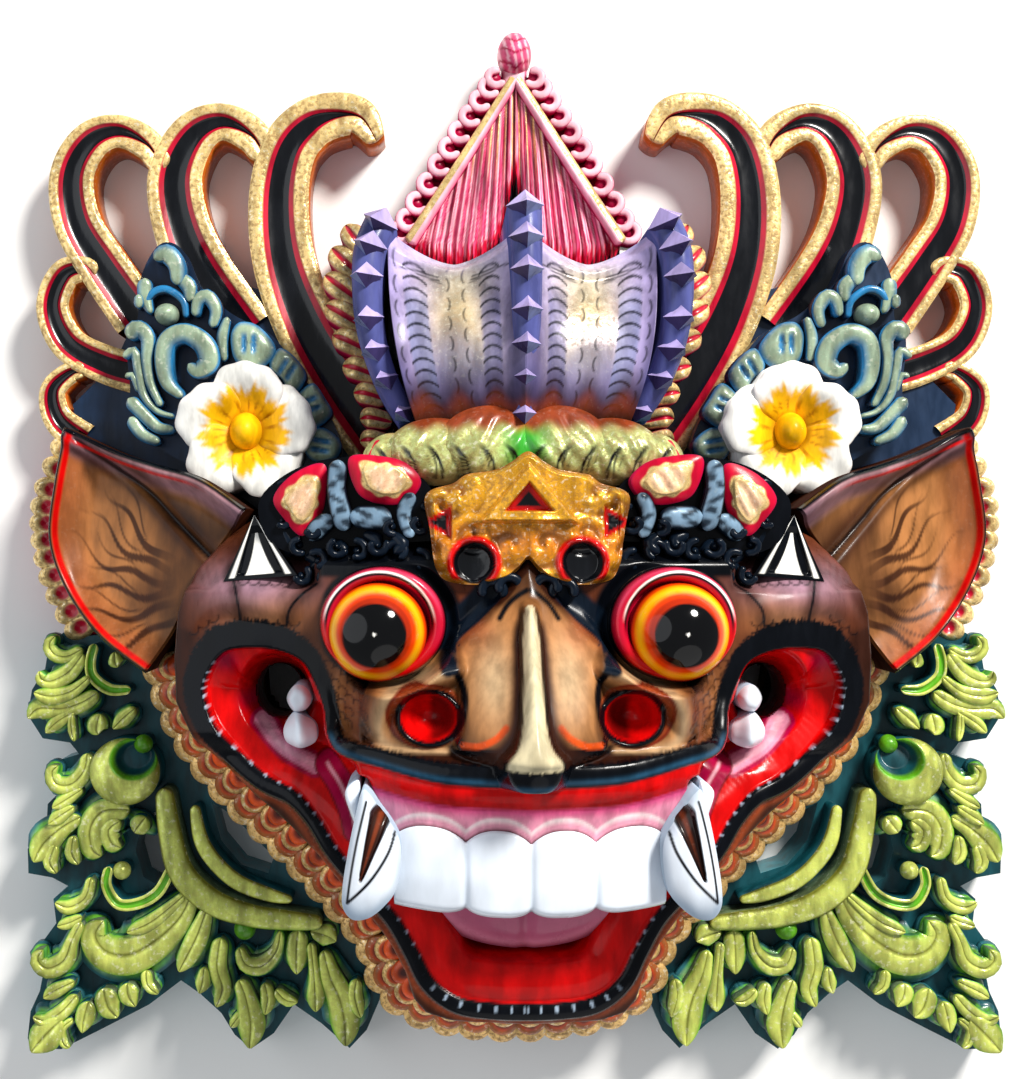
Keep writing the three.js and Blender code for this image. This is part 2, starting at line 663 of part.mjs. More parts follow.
function upperJaw() {
  const lip = ribbon(
    placed([[-49, -44, LIP_FRONT - 22, 4.5], [-38, -51, LIP_FRONT - 9, 5], [-20, -55.5, LIP_FRONT - 2, 5],
      [0, -56.5, LIP_FRONT, 5], [20, -55.5, LIP_FRONT - 2, 5], [38, -51, LIP_FRONT - 9, 5],
      [49, -44, LIP_FRONT - 22, 4.5]]),
    ROUNDED,
    34,
    8,
  );
  const gumHalf = placed([[0, -57], [20, -56], [38, -52], [36, -62], [18, -69], [0, -70]]);
  const gum = mound(wholeOutline(gumHalf), 34, 2, (x) => LIP_FRONT - 5 - 8 * (x / 36) ** 2);
  const teeth = Array.from({ length: TEETH }, (_, i) => {
    const x = (i - (TEETH - 1) / 2) * TOOTH_WIDTH;
    const y = -75.5 * TALL + 0.0012 * x * x;
    const front = LIP_FRONT - 3 - 8 * (x / 36) ** 2;
    const half = TOOTH_WIDTH / 2;
    const outline = smoothLoop(
      [[x - half, y + 5], [x, y + TOOTH_HEIGHT / 2], [x + half, y + 5], [x + half, y - 6], [x, y - TOOTH_HEIGHT / 2],
        [x - half, y - 6]],
      1,
    );
    return mound(outline, 50, 2, (px, py, share) => front - 3.4 * share ** 3);
  });
  const fang = ribbon(
    [[0, 0, -6, 4.5], [0.7, 0.25, -1, 5.2], [2.4, 0.65, 2, 5.2], [4.4, 1, 1, 4.2]].map(([aside, down, ahead, half]) => [
      36.5 * WIDE + aside,
      -55 * TALL - down * FANG_LENGTH,
      LIP_FRONT + ahead,
      half,
    ]),
    KEEL,
    52,
    4,
    [0, 0.14],
  );
  return [lip, gum, ...teeth, ...pair([fang])];
}

const JAW = placed([[52, -37, JAW_FRONT - 7], [58.5, -27, JAW_FRONT - 5], [70, -21.5, JAW_FRONT - 8],
  [80, -25, JAW_FRONT - 12], [83.5, -36, JAW_FRONT - 16], [78, -48, JAW_FRONT - 14], [66, -57.5, JAW_FRONT - 10],
  [55.5, -69, JAW_FRONT - 7], [45.5, -81, JAW_FRONT - 4], [36, -93, JAW_FRONT - 2], [23, -106, JAW_FRONT - 1],
  [0, -112, JAW_FRONT]]);
const JAW_SECTION = [[-1.15, 18], [-0.9, 6], [0, 0], [0.9, 7], [1.3, 16]];

function lowerJaw() {
  const path = [...JAW, ...JAW.slice(0, -1).reverse().map(([x, y, z]) => [-x, y, z])];
  const widening = path.map(([x, y, z], i) => {
    const fromEnd = Math.min(i, path.length - 1 - i);
    return [x, y, z, 4 + 4 * smooth(3, 9, fromEnd)];
  });
  const band = ribbon(widening, JAW_SECTION, 12, 22);
  const tongueHalf = placed([[0, -80], [18, -79], [29, -76], [27, -86], [16, -96], [0, -99]]);
  const tongue = mound(wholeOutline(tongueHalf), 34, 3, (x, y, share) => JAW_FRONT + 3 - 9 * share ** 3);
  const molars = pair(
    placed([[55, -40, 4.2, 3.8, JAW_FRONT - 1], [56.5, -33, 3.6, 3.2, JAW_FRONT]]).map(([x, y, across, along, top]) =>
      mound(ellipse(x, y, across, along, 6), HEAD_FLOOR - 8, 1, (px, py, share) => top - 4 * share),
    ),
  );
  return [band, tongue, ...molars];
}

// Ruff of feather-like lobes round the jaw, in two rows

const RUFF = placed([[98, -31], [93, -46], [84, -60], [72, -72], [60, -86], [50, -99], [43, -112], [33, -122],
  [17, -128.5], [0, -130.5]]);
const RUFF_FRONT = 24;

function ruff() {
  const path = [...RUFF.map(([x, y]) => [-x, y]), ...RUFF.slice(0, -1).reverse()];
  const lobes = scallops(path, RUFF_LOBES, { inner: 12, valley: 0, reach: 6, top: RUFF_FRONT, dip: 6, base: 0 });
  const ground = plate(
    wholeOutline(placed([[0, -60], [60, -30], [92, -24], [92, -46], [71, -70], [48, -99], [32, -118], [0, -127]])),
    0,
    RUFF_FRONT - 8,
  );
  return [ground, lobes];
}

// Green leaves below the ears: a pierced ground, a double arc, a spiral boss and rows of fronds

const LEAF_GROUND = placed([[94, -20], [120, -25], [130.6, -28.4], [137, -47], [123, -55.5], [130.6, -64],
  [128, -69], [136.8, -85], [136, -92], [126, -95], [129, -105], [134.4, -114], [132, -122], [136.9, -140.9],
  [127, -140.4], [116, -134], [102, -127], [93, -121], [82, -130], [73.8, -140.4], [67, -135], [61.8, -127],
  [54, -132], [46.2, -140], [41.4, -134.5], [31, -115], [44.5, -96.5], [58, -82], [79.5, -60.5], [91.5, -43]]);
const LEAF_HOLES = [
  [[104, -76], [98.6, -73.6], [96, -86], [93, -95], [99, -95], [105, -88]],
  [[84.4, -71.8], [78.6, -75.6], [67, -88], [70, -91], [81, -82]],
].map(placed);

// Middle line and half width of each frond
const ARCS = [
  [[96.4, -66, 2.8], [93.6, -82, 3.4], [84.5, -96, 3.4], [71, -101.4, 3], [54, -103.2, 2.2]],
  [[88, -70, 1.6], [85, -81, 2.1], [76.5, -91.5, 2.2], [62, -97, 1.4]],
].map(placed);
const FRONDS = [
  // the spray below the ear
  [[119.4, -28.4, 1.6], [127.4, -30.2, 2.4], [127, -25, 1.8]],
  [[117.4, -31, 1.6], [125.5, -36.6, 2.8], [131, -35.4, 2]],
  [[115.4, -38, 1.8], [125, -42, 3], [132.8, -40.6, 2.6]],
  [[114, -42, 2], [124, -47, 3.2], [133, -47.6, 3]],
  [[116, -27, 1.4], [117, -36, 1.8], [106, -39.6, 1.6]],
  // the spray beside the boss
  [[118, -57, 1.8], [120.4, -65.4, 2.5], [128, -63, 2.4]],
  [[119.4, -67.4, 1.4], [124.4, -71, 2.4], [129, -73.4, 2.6]],
  [[119.6, -74.4, 2], [128, -79.4, 3.6], [132, -87, 4]],
  [[106.4, -72.6, 2.6], [116.8, -76, 3.6], [114.4, -85, 2.2]],
  [[112, -88, 1.6], [108.4, -97.6, 2], [95, -88.4, 1.6]],
  [[117, -91, 1.6], [119.6, -98.6, 2.2], [127, -98, 2.2]],
  [[119.4, -103.4, 1.6], [123.8, -113.4, 2.8], [131.4, -113.6, 2.6]],
  // the swoosh and the fronds that hang from it
  [[88.7, -94.2, 2.2], [98.8, -108.3, 4.4], [113.6, -111.4, 5], [114, -103, 2.8]],
  [[121.4, -120, 1.6], [131, -124.6, 3]],
  [[120.6, -124.4, 2.4], [133.4, -138.6, 4.6]],
  [[114.4, -121.6, 3], [117.4, -133, 2.8]],
  [[106, -119.4, 3], [104.4, -126.4, 2.6]],
  [[85, -99.8, 1.8], [88.6, -108, 3], [94.6, -119, 2.8]],
  [[80.6, -107, 2], [82, -118, 2.8], [82.2, -127, 3]],
  [[76.1, -110, 1.6], [70.6, -115.8, 2.6], [64.8, -105.6, 1.6]],
  [[75.4, -119, 2.4], [73, -130, 4], [73.6, -138.6, 3.4]],
  [[63.6, -118, 2], [62.2, -126, 3]],
  [[58.4, -106, 2.8], [57, -118, 2.8], [55, -130, 3.4]],
  [[52, -110, 2.2], [48.6, -124, 3.8], [46.6, -138.4, 3.6]],
].map(placed);

const FROND_FULLNESS = 1.25; // of the middle of a frond, whose ends narrow

function leaves() {
  const ground = plate(LEAF_GROUND, 0, LEAF_DEPTH, LEAF_HOLES);
  const top = LEAF_DEPTH + LEAF_RELIEF;
  const arcs = ARCS.map((points) =>
    ribbon(points.map(([x, y, half]) => [x, y, top + 1, half]), ROUNDED, LEAF_DEPTH, 5),
  );
  const fronds = FRONDS.map((points) =>
    ribbon(points.map(([x, y, half]) => [x, y, top, FROND_FULLNESS * half]), ROOF, LEAF_DEPTH, points.length - 1, [
      0.2, 0.3,
    ]),
  );
  const boss = mound(ellipse(...place([107.2, -61.5]), 10, 9.4, 12), LEAF_DEPTH / 2, 3, (x, y, share) =>
    top + 4 * Math.sqrt(1 - share ** 2),
  );
  return pair([ground, arcs, fronds, boss]);
}

// The whole carving

function carving() {
  const solid = join([
    head(), ruff(), leaves(), halo(), cluster(), flower(), ear(), earFrill(), fin(), crown(), crownBase(), diadem(),
    brow(), eyes(), nose(), upperJaw(), lowerJaw(),
  ]);
  return solid.subtract(join([hollows(), nostrils()]));
}

function meshFrom(solid, name, material) {
  const mesh = solid.getMesh();
  const geometry = new THREE.BufferGeometry();
  geometry.setAttribute("position", new THREE.BufferAttribute(new Float32Array(mesh.vertProperties), 3));
  geometry.setIndex(new THREE.BufferAttribute(new Uint32Array(mesh.triVerts), 1));
  geometry.computeVertexNormals();
  const result = new THREE.Mesh(geometry, material);
  result.name = name;
  return result;
}

const paintedWood = new THREE.MeshStandardMaterial({ color: 0x8a4f2c, roughness: 0.45, metalness: 0 });
const mask = new THREE.Group();
mask.add(meshFrom(carving(), "carved_mask", paintedWood));

export default mask;
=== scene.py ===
import math

import bpy
import numpy as np
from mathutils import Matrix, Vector
from mathutils.geometry import tessellate_polygon


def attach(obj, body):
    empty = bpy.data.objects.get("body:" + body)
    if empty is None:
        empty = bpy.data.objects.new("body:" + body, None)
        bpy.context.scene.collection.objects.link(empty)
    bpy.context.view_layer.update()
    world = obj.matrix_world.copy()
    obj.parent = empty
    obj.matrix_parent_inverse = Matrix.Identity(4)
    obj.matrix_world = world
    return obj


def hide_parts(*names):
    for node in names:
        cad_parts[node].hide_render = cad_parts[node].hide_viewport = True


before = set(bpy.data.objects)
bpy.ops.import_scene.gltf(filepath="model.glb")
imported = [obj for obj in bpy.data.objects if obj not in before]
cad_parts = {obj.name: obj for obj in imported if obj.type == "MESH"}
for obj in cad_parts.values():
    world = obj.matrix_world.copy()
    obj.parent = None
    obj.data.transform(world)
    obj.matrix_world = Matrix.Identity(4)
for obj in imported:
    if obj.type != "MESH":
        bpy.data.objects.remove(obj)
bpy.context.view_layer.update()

# Heights shared by several forms
PANEL = 15.0
GROUND = 12.0
CLUSTER = 28.0
LEAF_GROUND = 13.0
LEAF_TOP = 21.0


# Paints


def linear(code):
    value = np.array([int(code[i : i + 2], 16) for i in (0, 2, 4)]) / 255
    return np.where(value <= 0.04045, value / 12.92, ((value + 0.055) / 1.055) ** 2.4)


def paint_row(code, gilding, roughness):
    return np.array([*linear(code), gilding, roughness])


PAINT = {
    "leaf": paint_row("E8C884", 1.0, 0.36),
    "orange": paint_row("B85A10", 0.25, 0.38),
    "crimson": paint_row("B5082B", 0.0, 0.3),
    "night": paint_row("05070C", 0.0, 0.2),
    "olive": paint_row("C2CC62", 0.7, 0.34),
    "olive_dark": paint_row("6F7422", 0.5, 0.4),
    "teal": paint_row("0C444C", 0.0, 0.4),
    "teal_light": paint_row("3C7C86", 0.0, 0.38),
    "lime": paint_row("58A018", 0.15, 0.36),
    "sea": paint_row("8C9F86", 0.45, 0.34),
    "blue": paint_row("1C6C9C", 0.1, 0.32),
    "blue_deep": paint_row("0B2440", 0.0, 0.34),
    "white": paint_row("F1EFE8", 0.0, 0.34),
    "tooth": paint_row("DCE3EC", 0.0, 0.2),
    "tooth_shade": paint_row("9FB0C2", 0.0, 0.24),
    "yellow": paint_row("F2B40A", 0.0, 0.35),
    "yellow_deep": paint_row("A86404", 0.0, 0.4),
    "pink": paint_row("D7507A", 0.0, 0.34),
    "pink_pale": paint_row("F0B4C0", 0.0, 0.34),
    "magenta": paint_row("A0083C", 0.0, 0.32),
    "lavender": paint_row("A596C8", 0.0, 0.3),
    "lavender_dark": paint_row("4A4F86", 0.0, 0.3),
    "slate": paint_row("6B77A0", 0.0, 0.3),
    "violet": paint_row("332C54", 0.0, 0.3),
    # silver painted as a sheen on the crown shells
    "silver": paint_row("B9B09A", 0.6, 0.3),
    "umber": paint_row("2C1208", 0.0, 0.34),
    "russet": paint_row("8C3A1A", 0.1, 0.34),
    "tan": paint_row("A06A3C", 0.0, 0.34),
    "brown": paint_row("5A2C18", 0.0, 0.3),
    "lilac": paint_row("8E6E80", 0.0, 0.32),
    "bone": paint_row("CBBE9A", 0.0, 0.3),
    "red": paint_row("C40606", 0.0, 0.18),
    "red_deep": paint_row("5C0404", 0.0, 0.22),
    "amber": paint_row("EE8A06", 0.0, 0.14),
    "amber_deep": paint_row("D83A04", 0.0, 0.14),
    "pupil": paint_row("030304", 0.0, 0.05),
    "gum": paint_row("E08CA4", 0.0, 0.24),
    "pink_hot": paint_row("D23A78", 0.0, 0.24),
    # slate blue painted as the reflection on glossy black
    "painted_reflection_blue": paint_row("24506C", 0.0, 0.2),
    "mauve": paint_row("A8506C", 0.0, 0.3),
    "copper": paint_row("A65A28", 0.6, 0.36),
    "ruff_gold": paint_row("E2B873", 1.0, 0.34),
    "maroon": paint_row("3C0E0A", 0.0, 0.36),
    "ember": paint_row("D24A10", 0.1, 0.34),
    "gold": paint_row("D79A1C", 0.9, 0.3),
    "gold_deep": paint_row("7A4206", 0.5, 0.34),
    "amber_gold": paint_row("D8780C", 0.6, 0.3),
    "storm": paint_row("0A1420", 0.0, 0.24),
    # pale slate painted as a highlight on glossy black
    "painted_highlight_slate": paint_row("6F8AA0", 0.1, 0.34),
    "grass": paint_row("35A02C", 0.0, 0.34),
    "grass_gold": paint_row("B7BE78", 0.8, 0.34),
    "wood": paint_row("8A6A46", 0.0, 0.7),
    "wood_dark": paint_row("5A3F26", 0.0, 0.75),
}


# Curves and masks


def spline(points, shares):
    """A smooth curve through rows of coordinates, at shares from 0 to 1."""
    points = np.asarray(points, float)
    last = len(points) - 1
    place = np.clip(np.asarray(shares, float) * last, 0, last - 1e-9)
    index = place.astype(int)
    t = (place - index)[:, None]
    a, b, c, d = [points[np.clip(index + k, 0, last)] for k in (-1, 0, 1, 2)]
    near, far, rise = (c - a) / 2, (d - b) / 2, c - b
    return b + t * (near + t * (3 * rise - 2 * near - far + t * (near + far - 2 * rise)))


def loop_through(points, count):
    """A closed smooth outline through the given corners."""
    points = [list(p) for p in points]
    around = points[-2:] + points + points[:3]
    span = len(around) - 1
    shares = (2 + len(points) * np.arange(count) / count) / span
    return spline(around, shares)


def whole(half):
    """Both sides of an outline whose first and last corners lie on the middle line."""
    half = [list(p) for p in half]
    return half + [[-p[0], *p[1:]] for p in half[-2:0:-1]]


def ellipse(x, y, across, along, count, turn=0.0):
    angle = np.linspace(0, 2 * math.pi, count, endpoint=False)
    u, v = across * np.cos(angle), along * np.sin(angle)
    return np.stack(
        [x + u * math.cos(turn) - v * math.sin(turn), y + u * math.sin(turn) + v * math.cos(turn)], axis=1
    )


def smooth(start, end, value):
    t = np.clip((value - start) / (end - start), 0, 1)
    return t * t * (3 - 2 * t)


def bell(value, middle, width):
    return np.exp(-(((value - middle) / width) ** 2))


def within(x, y, outline):
    """True where a point lies inside a closed outline."""
    inside = np.zeros(np.shape(x), bool)
    corners = np.asarray(outline)[:, :2]
    for (ax, ay), (bx, by) in zip(corners, np.roll(corners, -1, axis=0)):
        if ay != by:
            crosses = (ay > y) != (by > y)
            inside ^= crosses & (x < (bx - ax) * (y - ay) / (by - ay) + ax)
    return inside


def nearest(x, y, line):
    """Distance to a line, and the line's own values at the nearest point, with its share along at the end."""
    line = np.asarray(line, float)
    shares = np.linspace(0, 1, len(line))
    line = np.column_stack([line, shares])
    best = np.full(np.shape(x), 1e9)
    found = np.zeros(np.shape(x) + (line.shape[1],))
    for a, b in zip(line[:-1], line[1:]):
        way = b[:2] - a[:2]
        size = max(way @ way, 1e-9)
        t = np.clip(((x - a[0]) * way[0] + (y - a[1]) * way[1]) / size, 0, 1)
        gap = np.hypot(x - a[0] - t * way[0], y - a[1] - t * way[1])
        closer = gap < best
        best = np.where(closer, gap, best)
        found = np.where(closer[..., None], a + t[..., None] * (b - a), found)
    return best, found


def blend(under, over, mask):
    """One paint over another where the mask is 1."""
    over = PAINT[over] if isinstance(over, str) else over
    return under + (over - under) * np.clip(mask, 0, 1)[..., None]


def coat(name, shape):
    return np.broadcast_to(PAINT[name], tuple(shape) + (5,)).copy()


def line_mask(gap, half, soft=0.25):
    return 1 - smooth(half - soft, half + soft, gap)


def higher(a, b, ease=1.5):
    """The higher of two surfaces, with a rounded inner corner."""
    t = np.clip(0.5 + (a - b) / (2 * ease), 0, 1)
    return b + (a - b) * t + ease * t * (1 - t)


# Surfaces: points, four-sided faces and paint


def surface(points, paint, wrap=False):
    rows, cols = points.shape[:2]
    index = np.arange(rows * cols).reshape(rows, cols)
    if wrap:
        index = np.concatenate([index, index[:, :1]], axis=1)
    faces = np.stack([index[:-1, :-1], index[:-1, 1:], index[1:, 1:], index[1:, :-1]], axis=-1)
    return {"v": points.reshape(-1, 3), "q": faces.reshape(-1, 4), "c": paint.reshape(-1, 5)}


def outward(form):
    """Turns a form that stands on its lowest plane right side out."""
    corners = form["v"] - [*form["v"][:, :2].mean(axis=0), form["v"][:, 2].min()]
    a, b, c, d = [corners[form["q"][:, k]] for k in range(4)]
    volume = (a * np.cross(b, c)).sum() + (a * np.cross(c, d)).sum()
    if volume < 0:
        form["q"] = form["q"][:, ::-1]
    return form


def mirrored(form):
    other = {"v": form["v"] * [-1, 1, 1], "q": form["q"][:, ::-1], "c": form["c"]}
    if "t" in form:
        other["t"] = form["t"][:, ::-1]
    return other


def pair(*forms):
    flat = [f for form in forms for f in (form if isinstance(form, list) else [form])]
    return flat + [mirrored(f) for f in flat]


def band(path, section, base=0.0, spacing=0.8, ends=(1.0, 1.0), wall="teal", shade=None):
    """A carved strip. The path holds x, y, top, half width and stripe share.

    The section holds its own share, stripe share, drop and paint from one edge to the other.
    """
    path = [list(p) + [1.0] * (5 - len(p)) for p in path]
    fine = spline(path, np.linspace(0, 1, 24 * len(path)))
    along = np.concatenate([[0], np.cumsum(np.hypot(*np.diff(fine[:, :2], axis=0).T))])
    total = along[-1]
    reach = [min(fine[k, 3] * ends[k], 0.45 * total) for k in (0, -1)]
    turn = 1 - np.cos(np.linspace(0, math.pi / 2, 7))
    places = np.concatenate(
        [np.linspace(0, total, max(4, int(total / spacing))), reach[0] * turn, total - reach[1] * turn]
    )
    places = np.unique(np.round(places, 3))

    def at(where):
        return np.stack([np.interp(where, along, fine[:, k]) for k in range(5)], axis=1)

    rows = at(places)
    way = (at(np.minimum(places + 0.4, total)) - at(np.maximum(places - 0.4, 0)))[:, :2]
    way /= np.maximum(np.hypot(way[:, 0], way[:, 1]), 1e-9)[:, None]
    full = np.ones(len(places))
    for edge, length in ((places, reach[0]), (total - places, reach[1])):
        if length > 0:
            gone = np.clip(1 - edge / length, 0, 1)
            full = np.minimum(full, np.sqrt(np.maximum(1 - gone**2, 1e-5)))
    entries = [(-1, 0, None, wall), (-1, 0, section[0][2], wall), *section]
    entries += [(1, 0, section[-1][2], wall), (1, 0, None, wall)]
    points = np.zeros((len(places), len(entries), 3))
    paint = np.zeros((len(places), len(entries), 5))
    for k, (own, stripe, drop, name) in enumerate(entries):
        across = (own + stripe * rows[:, 4]) * rows[:, 3] * full
        points[:, k, 0] = rows[:, 0] - way[:, 1] * across
        points[:, k, 1] = rows[:, 1] + way[:, 0] * across
        points[:, k, 2] = base if drop is None else np.maximum(base, rows[:, 2] - drop - 0.6 * (1 - full))
        paint[:, k] = PAINT[name]
    if shade:
        paint = shade(paint, points, places[:, None] / total, np.array([e[0] for e in entries])[None, :])
    return outward(surface(points, paint, wrap=True))


def mound(outline, base, height, paint="tan", rings=12, wall="teal", edge=0.0):
    """A form that stands on a base inside an outline, with its top and paint given by x, y and share."""
    outline = np.asarray(outline)[:, :2]
    middle = outline.mean(axis=0)
    share = np.sin(np.linspace(math.pi / 2, 0.004, rings))[:, None]
    x = middle[0] + (outline[:, 0] - middle[0]) * share
    y = middle[1] + (outline[:, 1] - middle[1]) * share
    share = np.broadcast_to(share, x.shape)
    z = np.maximum(height(x, y, share), base)
    points = np.stack([x, y, z], axis=-1)
    colours = coat(paint, x.shape) if isinstance(paint, str) else paint(x, y, share)
    skirt = points[:1].copy()
    skirt[..., 2] = np.maximum(skirt[..., 2] - edge, base)
    foot = skirt.copy()
    foot[..., 2] = base
    points = np.concatenate([foot, skirt, points])
    colours = np.concatenate([coat(wall, foot.shape[:2]), coat(wall, foot.shape[:2]), colours])
    return outward(surface(points, colours, wrap=True))


def relief(x_range, y_range, step, height, paint, keep):
    """A surface over a square grid, kept where keep(x, y) is true."""
    xs = np.arange(x_range[0], x_range[1] + step / 2, step)
    ys = np.arange(y_range[0], y_range[1] + step / 2, step)
    x, y = np.meshgrid(xs, ys)
    z = height(x, y)
    form = surface(np.stack([x, y, z], axis=-1), paint(x, y, z))
    ok = keep(x, y).reshape(-1)
    form["q"] = form["q"][ok[form["q"]].all(axis=1)]
    used = np.unique(form["q"])
    renumber = np.zeros(len(form["v"]), int)
    renumber[used] = np.arange(len(used))
    return {"v": form["v"][used], "q": renumber[form["q"]], "c": form["c"][used]}


def plate(outline, base, top, face, wall, holes=()):
    """A flat board with straight walls."""
    loops = [np.asarray(outline)[:, :2], *[np.asarray(h)[:, :2] for h in holes]]
    flat = [[Vector((x, y, 0)) for x, y in loop] for loop in loops]
    triangles = np.array(tessellate_polygon(flat))
    corners = np.concatenate(loops)
    area = sum(
        (corners[b] - corners[a])[0] * (corners[c] - corners[a])[1]
        - (corners[b] - corners[a])[1] * (corners[c] - corners[a])[0]
        for a, b, c in triangles
    )
    if area < 0:
        triangles = triangles[:, ::-1]
    high = np.column_stack([corners, np.full(len(corners), top)])
    low = np.column_stack([corners, np.full(len(corners), base)])
    forms = [
        {"v": high, "t": triangles, "q": np.zeros((0, 4), int), "c": coat(face, (len(high),))},
        {"v": low, "t": triangles[:, ::-1], "q": np.zeros((0, 4), int), "c": coat(wall, (len(low),))},
    ]
    for k, loop in enumerate(loops):
        ring = np.stack([np.column_stack([loop, np.full(len(loop), z)]) for z in (base, top)])
        side = outward(surface(ring, coat(wall, ring.shape[:2]), wrap=True))
        if k:
            side["q"] = side["q"][:, ::-1]
        forms.append(side)
    return forms


def ball(x, y, z, radii, paint, around=40, up=24):
    lift = np.linspace(-math.pi / 2 + 0.02, math.pi / 2 - 0.004, up)[:, None]
    angle = np.linspace(0, 2 * math.pi, around, endpoint=False)[None, :]
    points = np.stack(
        [
            x + radii[0] * np.cos(lift) * np.cos(angle),
            y + radii[1] * np.cos(lift) * np.sin(angle),
            z + radii[2] * np.sin(lift) * np.ones_like(angle),
        ],
        axis=-1,
    )
    colours = coat(paint, points.shape[:2]) if isinstance(paint, str) else paint(points, lift)
    return outward(surface(points, colours, wrap=True))


# Meshes and materials


class Nodes:
    """Short names for the nodes of one material."""

    def __init__(self, material):
        material.use_nodes = True
        self.tree = material.node_tree
        self.shader = next(n for n in self.tree.nodes if n.type == "BSDF_PRINCIPLED")

    def plug(self, socket, value):
        if isinstance(value, bpy.types.NodeSocket):
            self.tree.links.new(value, socket)
        else:
            socket.default_value = value

    def add(self, kind, inputs=(), output=0, **settings):
        node = self.tree.nodes.new(kind)
        for name, value in settings.items():
            setattr(node, name, value)
        for key, value in dict(inputs).items():
            self.plug(node.inputs[key], value)
        return node.outputs[output]

    def math(self, operation, a, b=0.0, clamp=False):
        return self.add("ShaderNodeMath", {0: a, 1: b}, operation=operation, use_clamp=clamp)

    def span(self, value, low, high, to_low, to_high):
        inputs = {0: value, 1: low, 2: high, 3: to_low, 4: to_high}
        return self.add("ShaderNodeMapRange", inputs, interpolation_type="SMOOTHSTEP")

    def mix(self, factor, a, b, blend="MIX"):
        return self.add("ShaderNodeMix", {0: factor, 6: a, 7: b}, output=2, data_type="RGBA",
            blend_type=blend)

    def noise(self, scale, detail=3.0, stretch=None, rough=0.55):
        place = self.add("ShaderNodeTexCoord", output=3)
        if stretch:
            place = self.add("ShaderNodeMapping", {0: place, 3: stretch})
        return self.add("ShaderNodeTexNoise", {0: place, 2: scale, 3: detail, 4: rough})


def painted(name, speckle=900.0, worn=0.42, wear=0.5, tone=0.35, brush=(1.0, 0.3, 1.0), bump=0.35,
        coat_share=0.2, shine=0.3):
    """Hand-painted wood: brushed colour from the paint values, and broken leaf where the gilding is."""
    material = bpy.data.materials.new(name)
    n = Nodes(material)
    colour = n.add("ShaderNodeAttribute", attribute_name="paint")
    finish = n.add("ShaderNodeAttribute", attribute_name="finish", output=1)
    parts = n.tree.nodes.new("ShaderNodeSeparateXYZ")
    n.plug(parts.inputs[0], finish)
    gilding, roughness = parts.outputs[0], parts.outputs[1]
    fleck = n.noise(speckle, 4.0)
    stroke = n.noise(260.0, 3.0, brush)
    cloud = n.noise(55.0, 2.0)
    level = n.math("ADD", n.span(stroke, 0.3, 0.7, 1 - tone, 1 + 0.5 * tone),
        n.span(cloud, 0.3, 0.7, -0.1, 0.12))
    tint = n.add("ShaderNodeCombineColor", {0: level, 1: level, 2: level})
    brushed = n.mix(1.0, colour, tint, "MULTIPLY")
    whole_leaf = n.span(fleck, worn - 0.05, worn + 0.09, 0.0, 1.0)
    glint = n.span(fleck, 0.56, 0.68, 0.0, 1.0)
    under = n.mix(wear, brushed, (0.16, 0.07, 0.015, 1), "MIX")
    leaf = n.mix(whole_leaf, under, brushed)
    leaf = n.mix(n.math("MULTIPLY", glint, 0.45), leaf, (1.0, 0.93, 0.74, 1))
    n.plug(n.shader.inputs["Base Color"], n.mix(gilding, brushed, leaf))
    n.plug(n.shader.inputs["Metallic"], n.math("MULTIPLY", n.math("MULTIPLY", gilding, whole_leaf), 0.45))
    jitter = n.math("ADD", n.span(stroke, 0.3, 0.7, -0.05, 0.08),
        n.math("MULTIPLY", gilding, n.span(fleck, 0.3, 0.7, 0.12, -0.12)))
    n.plug(n.shader.inputs["Roughness"], n.math("ADD", roughness, jitter, clamp=True))
    n.plug(n.shader.inputs["Coat Weight"], coat_share)
    n.plug(n.shader.inputs["Coat Roughness"], 0.08)
    n.plug(n.shader.inputs["Specular IOR Level"], shine)
    grain = n.math("ADD", n.math("MULTIPLY", fleck, n.math("MULTIPLY", gilding, 1.2)),
        n.math("MULTIPLY", stroke, 0.6))
    normal = n.add("ShaderNodeBump", {0: bump, 1: 0.0005, "Height": grain})
    n.plug(n.shader.inputs["Normal"], normal)
    return material


def build(name, forms, material):
    """One piece from all its forms."""
    flat = []
    for form in forms:
        flat.extend(form if isinstance(form, list) else [form])
    starts = np.cumsum([0] + [len(f["v"]) for f in flat])
    points = np.concatenate([f["v"] for f in flat]) * 0.001
    paint = np.concatenate([f["c"] for f in flat])
    quads = np.concatenate([f["q"] + s for f, s in zip(flat, starts)])
    threes = [f["t"] + s for f, s in zip(flat, starts) if "t" in f]
    triangles = np.concatenate(threes) if threes else np.zeros((0, 3), int)
    mesh = bpy.data.meshes.new(name)
    mesh.vertices.add(len(points))
    mesh.vertices.foreach_set("co", points.astype(np.float32).ravel())
    loops = np.concatenate([quads.ravel(), triangles.ravel()])
    mesh.loops.add(len(loops))
    mesh.loops.foreach_set("vertex_index", loops.astype(np.int32))
    sizes = np.concatenate([np.full(len(quads), 4), np.full(len(triangles), 3)])
    mesh.polygons.add(len(sizes))
    mesh.polygons.foreach_set("loop_start", (np.cumsum(sizes) - sizes).astype(np.int32))
    mesh.update(calc_edges=True)
    mesh.polygons.foreach_set("use_smooth", np.ones(len(sizes), bool))
    colour = mesh.attributes.new("paint", "FLOAT_COLOR", "POINT")
    colour.data.foreach_set("color",
        np.column_stack([paint[:, :3], np.ones(len(paint))]).astype(np.float32).ravel())
    finish = mesh.attributes.new("finish", "FLOAT_VECTOR", "POINT")
    finish.data.foreach_set("vector",
        np.column_stack([paint[:, 3:5], np.zeros(len(paint))]).astype(np.float32).ravel())
    mesh.validate()
    mesh.materials.append(material)
    piece = bpy.data.objects.new(name, mesh)
    bpy.context.scene.collection.objects.link(piece)
    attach(piece, "root")
    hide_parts("carved_mask")
    print(name, 2 * len(quads) + len(triangles))
    return piece


